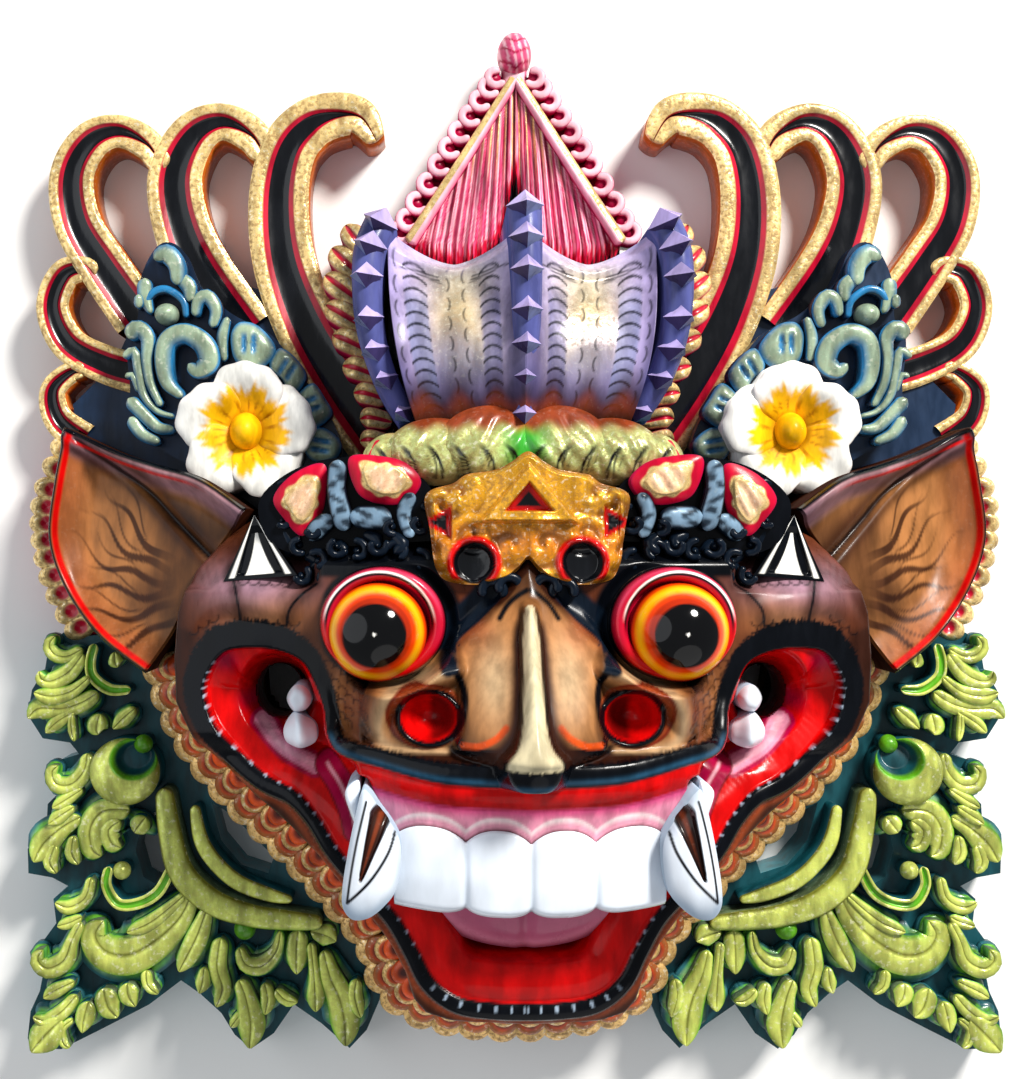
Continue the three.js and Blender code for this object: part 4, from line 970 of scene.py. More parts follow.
def diadem():
    outline = whole([[0, 23], [4, 20.5], [8, 18.6], [14.5, 17.6], [18, 15.5], [24.6, 12.6], [23.6, 4],
        [22, -5.5], [18, -8.6],
                     [8, -8.8], [3, -6], [0, -3]])
    outline = loop_through(outline, 290)
    apex, left = np.array([0, 18.6]), np.array([-10.2, 6.6])

    def gold_curls(x, y):
        """Leaf curls cut into the gold, from nested arcs round a few middles."""
        rise = np.zeros(x.shape)
        for cx, cy, size in ((16.5, 12.5, 5.4), (21.5, 9.5, 3.6), (22.5, -1.5, 4.4), (4.0, 0.5, 5.4),
                (13.5, 3.0, 4.2)):
            ring = np.hypot(np.abs(x) - cx, y - cy) / size
            bend = np.arctan2(y - cy, np.abs(x) - cx)
            rise = rise + np.cos(4.6 * ring + 1.0 * bend) * smooth(1.5, 0.9, ring)
        return rise

    def triangle_share(x, y):
        """1 on the edge of the raised triangle, 0 at its middle."""
        down = (apex[1] - y) / (apex[1] - left[1])
        slope = np.abs(x) / 10.2
        middle = 0.62
        return np.maximum((down - middle) / (1 - middle), (slope - (down - middle)) / middle)

    def high(x, y, share):
        edge = triangle_share(x, y)
        frame_rise = 3.4 * smooth(1.25, 1.0, edge) - 3.2 * smooth(0.62, 0.5, edge)
        ring = np.hypot(np.abs(x) - 13, y + 3.8)
        disc = 2.0 * bell(ring, 5.6, 1.0) - 1.2 * smooth(4.6, 4.0, ring)
        side = np.maximum(np.abs(np.abs(x) - 20.4) * 1.2, np.abs(y - 6) * 0.55)
        curls = gold_curls(x, y)
        return (
            72 + 3 * bell(x, 0, 10) - 2.5 * smooth(0.9, 1, share) + frame_rise + disc
            + curls * 0.6 - 1.6 * smooth(2.6, 1.8, side)
        )

    def dye(x, y, share):
        edge = triangle_share(x, y)
        ring = np.hypot(np.abs(x) - 13, y + 3.8)
        paint = blend(coat("gold", x.shape), "amber_gold", 0.8 * bell(y, 1.0, 5.0))
        paint = blend(paint, "gold_deep", 0.85 * smooth(-0.1, -0.9, gold_curls(x, y)))
        paint = blend(paint, "gold_deep", 0.8 * smooth(0.93, 1.0, share))
        paint = blend(paint, "gold", smooth(1.2, 1.08, edge))
        paint = blend(paint, "red", line_mask(edge, 0.56, 0.05))
        paint = blend(paint, "night", line_mask(edge, 0.3, 0.05))
        paint = blend(paint, "red", line_mask(ring, 6.6, 0.3) * smooth(-8.4, -7.4, y))
        paint = blend(paint, "night", line_mask(ring, 5.1, 0.3))
        side = np.maximum((np.abs(x) - 19.0) * -1.0, (np.abs(x) - 19.0) * 0.55 + np.abs(y - 6) - 3.1)
        paint = blend(paint, "red", line_mask(side, 0.6, 0.25) * (np.abs(x) > 17.5))
        paint = blend(paint, "night", line_mask(side, -0.5, 0.25) * (np.abs(x) > 17.5))
        return blend(paint, "gold_deep", 0.6 * bell(np.abs(x), 0.0, 0.8) * smooth(5, 3, y))

    return [mound(outline, 40, high, dye, 84, "gold_deep")]


def brow():
    forms = []
    forms += pair(plate(loop_through([[22, 4], [23, 14], [30, 20], [42, 22.5], [56, 20], [66, 12], [64, 2],
        [56, -2], [44, -2], [30, -2]], 60), 36, 59, "night", "night"))
    petals = [
        ([(62.5, 12.2), (57.5, 18.2), (49.9, 20.6), (49.6, 12.1), (51.2, 7.2), (55.4, 2.8), (59.7, 6.8)], 62),
        ([(43.4, 22.0), (34.4, 22.2), (29.0, 20.3), (25.8, 16.0), (29.5, 11.2), (35.5, 10.6), (41.4, 13.4)],
            66),
    ]
    for corners, top in petals:
        outline = loop_through(corners, 90)
        middle = outline.mean(axis=0)

        def high(x, y, share, top=top):
            return (
                top - 1.6 * share**3 + 0.9 * smooth(0.62, 0.58, share)
                + 0.4 * np.sin(1.6 * x + 0.9 * y) * smooth(0.6, 0.3, share)
            )

        def dye(x, y, share, middle=middle):
            paint = blend(coat("crimson", x.shape), "leaf",
                smooth(0.74, 0.66, share + 0.05 * np.sin(7 * np.arctan2(y - middle[1], x - middle[0]))))
            paint = blend(paint, "pink_pale", 0.35 * smooth(0.66, 0.3, share))
            return blend(paint, "magenta", 0.8 * smooth(0.93, 1.0, share))

        forms += pair(mound(outline, 40, high, dye, 34, "magenta"))
    stems = [
        [(46.0, 21.4, 66, 2.4), (46.6, 14.3, 66, 2.3), (45.4, 8.2, 66, 2.6), (44.4, 4, 65, 2.2)],
        [(47.6, 7.6, 64, 2.2), (51.5, 4.4, 63, 2.5), (53.4, 1.7, 62, 2.0)],
        [(43.3, 7.7, 66, 2.2), (38.8, 7.2, 67.5, 2.9), (32.9, 7.1, 68.5, 2.7)],
        [(27.7, 13.2, 67, 1.7), (30.0, 8.2, 67, 2.0), (28.0, 2.3, 68, 1.7)],
        [(40, 3.2, 65, 1.5), (36.5, 1.6, 66, 1.9), (38.6, -0.8, 66, 1.4)],
        [(33, 3.0, 67, 1.3), (30.2, 0.6, 68, 1.8), (32.4, -1.6, 68, 1.2)],
        [(47.5, 1.4, 62, 1.4), (45, -1.2, 63, 1.8), (47.6, -3.2, 62, 1.2)],
        [(55, -1.8, 59, 1.3), (51.6, -3.6, 60, 1.6), (53.6, -6.0, 59, 1.1)],
        [(60.5, 4.6, 59, 1.3), (58.6, 0.6, 59, 1.6), (60.4, -2.4, 57, 1.1)],
    ]
    for k, stem in enumerate(stems):
        # the first four stems are pale slate, a painted highlight on their glossy black; the flecks break it
        # into patches
        tone = "painted_highlight_slate" if k < 4 else "storm"

        def patchy_highlight(paint, points, along, across, k=k):
            fleck = (
                np.sin(1.1 * points[..., 0] + 2.6 * np.sin(0.8 * points[..., 1] + k))
                + 0.7 * np.sin(2.3 * points[..., 1] - 0.7 * points[..., 0] + 2 * k)
            )
            return blend(paint, "storm", 0.9 * smooth(-0.2, 0.9, fleck))

        forms += pair(band([list(p) for p in stem], round_top(tone, "storm", 1.6), 44, 0.75, wall="night",
            shade=patchy_highlight))
    # dark curls between the lid and the petals
    curls = [
        (20.5, 0.5, 2.4, 0.4, 67), (21.2, -5.2, 2.2, 2.2, 67), (25.8, -3.4, 2.7, 1.1, 67),
        (26.4, 5.6, 2.2, 3.6, 67), (31.4, -1.2, 2.8, 0.2, 67), (36.6, 0.4, 2.6, 2.6, 67),
        (41.4, -1.0, 2.7, 1.2, 66), (46.6, 0.2, 2.6, 3.4, 65), (51.2, -3.4, 2.6, 0.6, 63.5),
        (55.6, -7.2, 2.4, 2.0, 61.5), (56.2, 0.6, 2.3, 4.0, 61), (60.4, 6.6, 2.4, 1.4, 60),
        (49.2, -7.4, 2.0, 4.6, 63), (24.4, 10.8, 2.0, 1.8, 66), (59.6, 14.6, 2.2, 0.2, 59),
        (33.0, 5.0, 2.0, 4.0, 67.5), (52.8, 4.0, 1.9, 2.4, 63),
    ]
    for cx, cy, size, start, top in curls:
        angles = start + np.linspace(0, 4.4, 12)
        path = [[cx + size * (1 - 0.05 * k) * math.cos(a), cy + size * (1 - 0.05 * k) * math.sin(a),
            top + 0.12 * k, 0.95] for k, a in enumerate(angles)]
        forms += pair(band(path, round_top("storm", "night", 0.9), 50, 0.8, wall="night"))
        forms += pair(ball(cx, cy, top - 2.4, (1.1, 1.1, 1.8), "storm", 14, 8))
    # black curls under the diadem
    for x, y in ((4.5, -9.6), (8.5, -10.6)):
        path = [[x + 2.6 * math.cos(a), y + 2.4 * math.sin(a), 74.5 - 0.2 * k, 1.2]
            for k, a in enumerate(np.linspace(-0.6, 3.8, 8))]
        forms += pair(band(path, round_top("storm", "night", 1), 62, 0.4, wall="night"))
    low = [np.array([56.6, -7.0]), np.array([75.4, -8.6]), np.array([67.6, 8.0])]
    front = {0: 61.0, 1: 56.5, 2: 57.5}
    steps = 70
    rows = np.linspace(0, 1, steps)[:, None]
    cols = np.linspace(0, 1, steps)[None, :]
    base_line = low[0] + (low[1] - low[0]) * cols[..., None]
    place = base_line + (low[2] - base_line) * rows[..., None]
    x, y = place[..., 0], place[..., 1]
    z = front[0] + (front[1] - front[0]) * cols + (front[2] - front[0] - (front[1] - front[0]) * cols) * rows
    side = np.abs(2 * cols - 1) * np.ones_like(rows)
    hollow = smooth(0.75, 0.6, side) * smooth(0.06, 0.1, rows) * smooth(0.85, 0.7, rows)
    z = z - 1.2 * hollow
    paint = coat("night", x.shape)
    paint = blend(paint, "white", line_mask(np.abs(side - 0.8), 0.075, 0.03) * (rows > 0.03))
    chip = smooth(0.42, 0.38, side + 0.45 * rows - 0.05) * (rows > 0.06) * (rows < 0.72)
    paint = blend(paint, "white", chip)
    shell = surface(np.stack([x, y, z], axis=-1), paint)
    rim = np.concatenate([shell["v"].reshape(steps, steps, 3)[0],
        shell["v"].reshape(steps, steps, 3)[:, -1], shell["v"].reshape(steps, steps, 3)[::-1, 0]])
    skirt = np.stack([rim * [1, 1, 0] + [0, 0, 34], rim])
    forms += pair([shell, surface(skirt, coat("night", skirt.shape[:2]))])
    return forms


# Face


def fine_line(points, count=60):
    return spline(points, np.linspace(0, 1, count))


# Outer edge of the red lips from the middle round the corner to the chin.
# Its rows hold x, y, height and width of the black band.
MOUTH = [
    [0, -55.3, 90, 5.0], [20, -54.6, 87.5, 4.8], [36, -51.5, 81, 4.2], [45, -49.6, 74, 3.8],
    [48.5, -46, 68.5, 3.6], [49.6, -40, 65, 3.6], [52, -33.8, 62.5, 4.0], [55.1, -28.6, 61, 4.6],
    [60.4, -26, 60.5, 5.4], [67, -25.2, 59, 6.4], [75, -26.4, 55, 6.0], [79.6, -32.5, 51.5, 5.6],
    [80.2, -37.9, 50.5, 5.2], [76.5, -46.5, 51.5, 4.6], [65.6, -56.5, 55, 4.3], [57, -60.9, 57.5, 3.8],
    [51.5, -66.8, 59, 3.4], [46.5, -74.5, 60.3, 3.4], [40, -82, 61.2, 3.4], [31.8, -90.6, 62.4, 3.4],
    [26.6, -98.8, 63.4, 3.6], [22.5, -106, 64.3, 3.8], [16, -110.3, 64.8, 4.2], [7, -111.6, 65, 4.2],
    [0, -111.8, 65, 4.2],
]
UPPER_END = 5.5 / 24
HEAD = [
    [0, 16], [24, 18], [50, 16], [66, 12], [78, 4], [86, -5], [90, -16], [91, -28], [90.5, -40],
    [85.5, -50], [77.6, -57], [69.8, -64.4], [60.6, -71.8], [53.3, -78.7], [47, -86.3], [41, -92.8],
    [35.6, -99.6], [31.8, -106.5], [29.7, -113.4], [26, -117.6], [19, -119.5], [0, -120.2],
]
NOSE_MASS = [[0, -2], [12, -14], [20, -24], [30, -27], [38, -33], [40, -44], [34, -49], [0, -52]]
BRIDGE = [[0, -4], [3, -7], [6, -12], [11, -17.5], [16.5, -22.5], [17, -26], [16, -34], [15.5, -42],
    [16.5, -47], [8, -49.8], [0, -50.4]]
WING = [
    [17.2, -29, 84, 2.4], [25.6, -30.9, 88, 2.9], [32.2, -33.8, 87, 3.0], [35.1, -38.2, 84, 3.0],
    [35.5, -43.5, 81, 2.9], [33.8, -46.5, 79, 2.4], [28, -48.0, 80, 1.9], [20, -48.2, 82, 1.6],
]
KEEL = [
    [0, -15, 82.5, 1.2], [0, -22, 87.5, 1.8], [0, -32, 94.5, 2.1], [0, -40, 99.5, 2.5],
    [0, -45, 102.0, 3.6], [0, -48, 102.8, 5.6], [0, -49.6, 101.6, 6.0],
]
CHEEK = [
    [58, -15.5, 63.5, 4.6], [66, -13.8, 62.5, 4.6], [75, -13.6, 59.5, 4.4], [81.5, -18, 56, 4.2],
    [85, -26, 52, 4], [86, -36, 48, 3.5], [83, -48, 48, 3.5],
]
NOSTRIL = [23.8, -39.9]
EYE = [36.2, -19.8]
LID = [34.9, -18.3]
MOUTH_CORNER = [62.6, -37.2]
MOUTH_LINE = fine_line(MOUTH, 170)
UPPER_COUNT = int(len(MOUTH_LINE) * UPPER_END)


def signed(x, y, line, outline):
    """Distance to a line, negative inside the outline, with the line's values at the nearest point."""
    gap, at = nearest(x, y, line)
    return np.where(within(x, y, outline), -gap, gap), at


def ridge_height(x, y, line, fall=1.6):
    gap, at = nearest(x, y, fine_line(line, 40))
    share = gap / at[..., 3]
    return at[..., 2] - 3 * np.minimum(share, 1) ** 2 - fall * np.maximum(0, gap - at[..., 3]), gap, at


def hole_share(x, y):
    return np.hypot((x - MOUTH_CORNER[0]) / 5.9, (y - MOUTH_CORNER[1]) / 6.9)


def face_height(x, y):
    x = np.abs(x)
    gap, at = signed(x, y, MOUTH_LINE, whole(MOUTH_LINE))
    rim, wide = at[..., 2], at[..., 3]
    out = np.maximum(gap, 0)
    skull = 70 - 0.0022 * x**2 - 22 * smooth(-5, 9, y) - 13 * smooth(-11.5, -7, y) * smooth(50, 56, x)
    cheek, _, _ = ridge_height(x, y, CHEEK, 1.3)
    skin = higher(skull, cheek, 2.0)
    low = smooth(-46, -56, y)
    chin = rim - 0.6 - 0.5 * np.maximum(0, out - wide)
    skin = skin * (1 - low) + chin * low
    bead = (
        rim - 0.4 + 1.7 * np.sqrt(np.clip(1 - ((out - wide / 2) / (wide / 2 + 0.5)) ** 2, 0, 1))
        - 1.6 * np.maximum(0, out - wide)
    )
    outer = higher(skin, bead, 0.7)
    # nose
    mass_gap, _ = signed(x, y, fine_line(NOSE_MASS, 60), whole(NOSE_MASS))
    mass = (
        70 + 15 * smooth(-8, -46, y) - 0.004 * x**2 - 2.2 * np.maximum(0, mass_gap)
        - 1.0 * bell(mass_gap, 0, 2)
    )
    outer = higher(outer, mass, 1.2)
    bridge_gap, _ = signed(x, y, fine_line(BRIDGE, 60), whole(BRIDGE))
    bridge = (
        74 + 22 * smooth(-4, -47, y) - 0.42 * np.sqrt(x**2 + 1.5)
        - 2.6 * np.maximum(0, bridge_gap) - 1.0 * bell(bridge_gap, 0, 1.6)
    )
    outer = higher(outer, bridge, 0.8)
    wing, _, _ = ridge_height(x, y, WING, 1.7)
    outer = higher(outer, wing, 0.8)
    keel, _, _ = ridge_height(x, y, KEEL, 2.8)
    outer = higher(outer, keel, 0.5)
    lid = np.hypot((x - LID[0]) / 15.4, (y - LID[1]) / 13.9)
    clear = smooth(1.2, 1.03, lid)
    outer = outer * (1 - clear) + np.minimum(outer, 67.5) * clear
    nostril = np.hypot((x - NOSTRIL[0]) / 6.9, (y - NOSTRIL[1]) / 5.9)
    bowl = smooth(1.22, 0.96, nostril)
    outer = outer * (1 - bowl) + (76.0 + 7.0 * nostril**2) * bowl
    # lower lip, funnels of the mouth's corners and the floor of the mouth
    lower_gap, lower_at = nearest(x, y, MOUTH_LINE[UPPER_COUNT:])
    lip = (
        lower_at[..., 2] + 1.9 * np.sin(np.pi * np.clip(lower_gap / 10, 0, 1))
        - 13 * smooth(9.5, 13, lower_gap)
    )
    funnel = 42.5 + (lower_at[..., 2] - 0.2 * lower_gap - 42.5) * smooth(0.95, 1.75, hole_share(x, y))
    funnel = funnel - 9 * smooth(0.3, 3.0, lower_gap) * bell(x, 52.5, 5.5) * smooth(-57, -50, y)
    corner = smooth(-68, -55, y)
    inner = lip * (1 - corner) + funnel * corner
    # upper lip and gum
    upper_gap, upper_at = nearest(x, y, MOUTH_LINE[: UPPER_COUNT + 8])
    gum = upper_at[..., 2] + 0.7 * np.sin(np.pi * np.clip(upper_gap / 5.2, 0, 1)) - 0.42 * upper_gap
    gum = (
        gum - 45 * smooth(37.0, 41.0, x) * smooth(3.0, 6.5, upper_gap)
        - 30 * smooth(40, 45, x) * smooth(0.2, 2.6, upper_gap)
        - 60 * smooth(-70.0, -72.0, y + 0.002 * x**2)
    )
    inner = higher(inner, gum, 0.8)
    over = smooth(-0.4, 0.4, gap)
    height = inner * (1 - over) + outer * over
    edge, _ = nearest(x, y, np.array(HEAD, float))
    return 22 + (height - 22) * smooth(0, 2.8, edge) ** 0.6


def strokes(x, y, rows, size=1.4, line=0.22):
    """Small scale marks: rows of half rings, each row with its first centre, count and step."""
    mask = np.zeros(x.shape)
    for (cx, cy), count, (dx, dy), turn in rows:
        for k in range(count):
            ax, ay = cx + dx * k, cy + dy * k
            ring = line_mask(np.abs(np.hypot(x - ax, y - ay) - size), line, 0.2)
            mask = np.maximum(mask, ring * ((x - ax) * math.cos(turn) + (y - ay) * math.sin(turn) > 0))
    return mask


def skin_paint(x, y):
    """Cheeks, forehead and the skin under the eyes."""
    paint = coat("brown", x.shape)
    paint = blend(paint, "tan", 0.75 * bell(np.hypot(x - 64, (y + 15.5) * 1.5), 0, 10))
    paint = blend(paint, "lilac", 0.85 * bell(np.hypot((x - 68) * 0.55, (y + 9.5) * 1.4), 0, 7.5))
    paint = blend(paint, "tan", 0.5 * bell(np.hypot(x - 46, (y + 38) * 0.6), 0, 6))
    paint = blend(paint, "umber", 0.85 * smooth(80, 88, x) + 0.6 * smooth(-19.5, -23, y) * smooth(50, 56, x))
    for line in ([[74, -6], [72.2, -10], [71.2, -14.5], [70.8, -18.5]],
            [[51.5, -9], [55.5, -12], [58.2, -15.5], [59, -19.5]]):
        gap, _ = nearest(x, y, fine_line(line, 24))
        paint = blend(paint, "umber", 0.6 * bell(gap, 0.7, 1.3))
        paint = blend(paint, "night", line_mask(gap, 0.38, 0.25))
    rows = [((59.5, -8.4), 5, (2.7, 0.1), -1.57), ((57, -18.2), 5, (2.8, 0.2), -1.57),
        ((78, -17.5), 3, (2.6, -1.6), -2.2)]
    paint = blend(paint, "night", 0.75 * strokes(x, y, rows))
    under = [((48.6 - 1.9 * k, -29.0 - 1.6 * k), 5 - k // 2, (0.2, -3.0), 2.4) for k in range(4)]
    paint = blend(paint, "umber", 0.9 * strokes(x, y, under, 1.3, 0.2))
    return paint


def nose_paint(paint, x, y):
    mass_gap, _ = signed(x, y, fine_line(NOSE_MASS, 60), whole(NOSE_MASS))
    bridge_gap, _ = signed(x, y, fine_line(BRIDGE, 60), whole(BRIDGE))
    # dark ground round the eye, up to the brow and beside the bridge
    eye = np.hypot((x - LID[0]) / 15.4, (y - LID[1]) / 13.8)
    paint = blend(paint, "night",
        smooth(1.13, 1.05, eye) * smooth(52, 49, x) + smooth(1.3, 1.2, eye) * smooth(46, 38, x))
    paint = blend(paint, "night", smooth(-8.2, -6.6, y) * smooth(53, 50, x))
    paint = blend(paint, "night", smooth(1.0, 0.4, mass_gap) * smooth(-26, -24, y) * smooth(30, 27, x))
    paint = blend(paint, "storm", smooth(7.5, 6, bridge_gap) * smooth(-29, -26, y))
    # wing of the nose
    wing_gap, wing = nearest(x, y, fine_line(WING, 40))
    share = wing_gap / wing[..., 3]
    skin = blend(coat("tan", x.shape), "brown", 0.7 * smooth(34, 38, x))
    skin = blend(skin, "bone", 0.35 * bell(wing_gap, 0, 1.5))
    skin = blend(skin, "umber", 0.6 * smooth(0.7, 1.4, share))
    on = smooth(0.6, 0.1, mass_gap) * smooth(-24.5, -26.5, y) * smooth(14, 16, x)
    paint = paint + (skin - paint) * on[..., None]
    spots = strokes(x, y, [((39.5, -40.0), 3, (-0.4, -3.0), 2.6), ((41.0, -37.5), 4, (-0.6, -3.0), 2.6)],
        1.2, 0.2)
    paint = blend(paint, "umber", 0.8 * spots)
    # bridge
    panel = blend(coat("tan", x.shape), "bone", 0.45 * bell(np.hypot(x - 8.5, (y + 31) * 0.5), 0, 4.5))
    panel = blend(panel, "umber", 0.85 * smooth(-17, -9, y) + 0.7 * smooth(-1.8, -0.3, bridge_gap))
    panel = blend(panel, "russet", 0.5 * bell(y, -20, 4) * smooth(6, 12, x))
    panel = blend(panel, "umber", 0.55 * smooth(-42, -46, y))
    on = smooth(0.5, -0.1, bridge_gap)
    paint = paint + (panel - paint) * on[..., None]
    mark, _ = nearest(x, y, fine_line([[0.4, -10.3], [2.6, -11.6], [5.0, -13.8], [7.0, -17.0]], 24))
    paint = blend(paint, "night", line_mask(mark, 0.62, 0.35))
    fold, _ = nearest(x, y, fine_line([[19.5, -25.5], [17.6, -29], [15.6, -34], [15.9, -39], [17.2, -43],
        [16.2, -47.5]], 40))
    paint = blend(paint, "night", line_mask(fold, 0.9, 0.35))
    paint = blend(paint, "storm",
        smooth(-24, -26, y) * line_mask(np.hypot(x - 19.2, (y + 27.6) * 0.8), 2.2, 0.5))
    hem, _ = nearest(x, y, fine_line([[15.8, -45.6], [12, -45.4], [8.4, -43.6], [6.2, -41.2]], 30))
    # painted shadow: black under the lower edge of the nose
    paint = blend(paint, "night", smooth(-45.6, -46.4, y) * smooth(0.6, 0.1, mass_gap) * smooth(20, 18, x))
    paint = blend(paint, "ember", 0.95 * line_mask(hem, 0.75, 0.3))
    # painted highlight: a dark brown strip on the black under the nose
    paint = blend(paint, "umber", smooth(-47.6, -48.4, y) * smooth(0.8, 0.2, mass_gap))
    # nostril
    nostril = np.hypot((x - NOSTRIL[0]) / 6.9, (y - NOSTRIL[1]) / 5.9)
    outer_ring = np.hypot((x - NOSTRIL[0] - 0.8) / 9.6, (y - NOSTRIL[1] - 0.5) / 8.0)
    paint = blend(paint, "russet", smooth(1.0, 0.94, outer_ring) * smooth(15.5, 17, x))
    paint = blend(paint, "red_deep",
        0.7 * line_mask(np.abs(outer_ring - 0.94), 0.04, 0.03) * smooth(18, 22, x))
    paint = blend(paint, "night", smooth(1.22, 1.15, nostril))
    paint = blend(paint, "red", smooth(0.98, 0.92, nostril))
    # painted shade on the inner half of the red nostril hollow
    paint = blend(paint, "red_deep",
        0.92 * smooth(0.98, 0.8, nostril) * smooth(NOSTRIL[0] + 0.8, NOSTRIL[0] - 1.4, x))
    # keel
    keel_gap, keel = nearest(x, y, fine_line(KEEL, 40))
    share = keel_gap / keel[..., 3]
    # painted shadow beside the keel: a dark brown band and a black line along its edges
    paint = blend(paint, "umber", smooth(2.9, 1.7, share) * smooth(-14, -20, y))
    paint = blend(paint, "night",
        line_mask(np.abs(keel_gap - keel[..., 3] - 0.5), 0.5, 0.25) * smooth(-13, -16, y))
    return blend(paint, "bone", smooth(1.12, 0.98, share))


def inner_mouth_paint(x, y):
    upper_gap, _ = nearest(x, y, MOUTH_LINE[: UPPER_COUNT + 8])
    lower_gap, _ = nearest(x, y, MOUTH_LINE[UPPER_COUNT:])
    corner = smooth(-68, -55, y)
    paint = coat("red", x.shape)
    # painted shade: darker red down into the holes at the mouth's corners
    paint = blend(paint, "red_deep", 0.9 * smooth(1.45, 1.0, hole_share(x, y)))
    paint = blend(paint, "magenta",
        0.8 * bell(np.hypot(x - 75.5, (y + 28.5) * 1.2), 0, 3.2)
        + 0.5 * bell(np.hypot(x - 70, y + 39), 0, 2.4))
    # painted shade: darker red on the sunken floor of the mouth behind the lower lip
    paint = blend(paint, "red_deep", smooth(11.0, 13.0, lower_gap) * (1 - corner))
    # gum under the molars
    path = fine_line([[67, -44], [63.5, -48], [59.5, -51.6], [52.5, -55.2]], 24)
    gap, _ = nearest(x, y, path)
    paint = blend(paint, "magenta", smooth(2.9, 2.3, gap))
    paint = blend(paint, "gum", smooth(1.9, 1.4, gap))
    paint = blend(paint, "pink_pale", 0.7 * smooth(0.9, 0.4, gap))
    # end of the upper gum beside the fang
    gap, _ = nearest(x, y, fine_line([[49.5, -54.5], [46.2, -59], [43.2, -65], [42.0, -70]], 24))
    paint = blend(paint, "magenta", smooth(3.4, 2.8, gap))
    paint = blend(paint, "red_deep", 0.8 * line_mask(np.abs(gap - 3.1), 0.25, 0.2))
    paint = blend(paint, "pink_pale", 0.8 * line_mask(gap, 0.4, 0.3))
    # upper gum: pale pink crescents with a white streak, painted highlights on the gum over each tooth, and
    # the dark joint to the teeth
    on_gum = smooth(5.0, 5.5, upper_gap) * smooth(40.5, 39.5, x) * smooth(-72.5, -71.5, y)
    gum = blend(coat("gum", x.shape), "pink_hot", 0.85 * smooth(8.6, 5.8, upper_gap))
    joint = scallop(x)
    arc = y - joint
    gum = blend(gum, "pink_pale", smooth(4.4, 3.9, arc) * smooth(2.2, 3.0, arc) + 0.5 * smooth(3.0, 1.0, arc))
    gum = blend(gum, "white", 0.55 * bell(arc, 3.7, 0.55))
    gum = blend(gum, "magenta", 0.7 * line_mask(np.abs(upper_gap - 5.6), 0.3, 0.25))
    gum = blend(gum, "red_deep", 0.6 * smooth(1.9, 1.2, arc))
    gum = blend(gum, "night", smooth(1.25, 0.85, arc))
    return paint + (gum - paint) * on_gum[..., None]


def scallop(x):
    """Joint of gum and teeth: arches over the teeth with cusps between them."""
    t = tooth_share(x)
    return -66.9 - 3.3 * np.abs(t) ** 2.4 + 0.0012 * x**2


def tooth_share(x):
    """Place across one tooth, from -1 to 1."""
    x = np.abs(x)
    return np.where(x < 15.2, (x - 7.6) / 7.6, (x - 23.6) / 8.4)


def face_paint(x, y, z):
    x = np.abs(x)
    gap, at = signed(x, y, MOUTH_LINE, whole(MOUTH_LINE))
    wide, along = at[..., 3], at[..., 4]
    paint = skin_paint(x, y)
    # skin of the jaw with fine hairs
    below = smooth(-46, -52, y) * smooth(-0.2, 0.2, gap) * smooth(46, 50, x + 3 * np.maximum(0, -y - 60))
    hairs = 0.5 + 0.5 * np.sin(900 * along + 2.0 * np.sin(40 * along))
    jaw_skin = blend(coat("brown", x.shape), "russet", 0.8 * bell(gap, 5.0, 1.0))
    jaw_skin = blend(jaw_skin, "umber", 0.85 * smooth(5.6, 7.2, gap) + 0.5 * hairs * smooth(5.6, 4.0, gap))
    paint = paint + (jaw_skin - paint) * below[..., None]
    paint = nose_paint(paint, x, y)
    # black band with its fringe of hair and pale ticks
    top = smooth(-30, -26, y)
    fringe = (0.3 + 0.5 * top * smooth(50, 58, x)) * (np.abs(np.sin(700 * along))
        + 0.8 * np.abs(np.sin(1131 * along + 1)))
    paint = blend(paint, "night", smooth(wide + fringe + 0.35, wide + fringe - 0.35, gap))
    # painted reflection: a slate-blue sheen along the glossy black band of the upper lip
    painted_light = bell(gap, 1.1, 0.7) * smooth(0.30, 0.24, along)
    paint = blend(paint, "painted_reflection_blue", 0.75 * painted_light * smooth(-44, -47, y))
    tick = smooth(0.8, 0.96, np.sin(330 * along)) * line_mask(np.abs(gap - 1.5), 0.75, 0.25)
    paint = blend(paint, "tooth_shade", 0.8 * tick * smooth(0.86, 0.9, along))
    dots = smooth(0.6, 0.9, np.sin(420 * along)) * line_mask(np.abs(gap - 0.2), 0.35, 0.15)
    paint = blend(paint, "tooth_shade", 0.85 * dots * smooth(0.42, 0.46, along) * smooth(0.86, 0.82, along))
    inner = inner_mouth_paint(x, y)
    return paint + (inner - paint) * smooth(0.2, -0.2, gap)[..., None]


def face_keep(x, y):
    x = np.abs(x)
    return within(x, y, whole(HEAD)) & (hole_share(x, y) > 1)


def face():
    step = 0.45
    border = -46.8
    across = 91.35
    lower = [relief((-across, across), (border - 168 * step, border), step, face_height, face_paint,
        face_keep)]
    upper = [relief((-across, across), (border, border + 146 * step), step, face_height, face_paint,
        face_keep)]
    loop = ellipse(*MOUTH_CORNER, 6.1, 7.1, 48)
    ring = np.stack([np.column_stack([loop, np.full(48, z)]) for z in (27.0, 43.2)])
    tube = outward(surface(ring, coat("red_deep", ring.shape[:2]), wrap=True))
    tube["q"] = tube["q"][:, ::-1]
    return lower, upper + pair(tube)


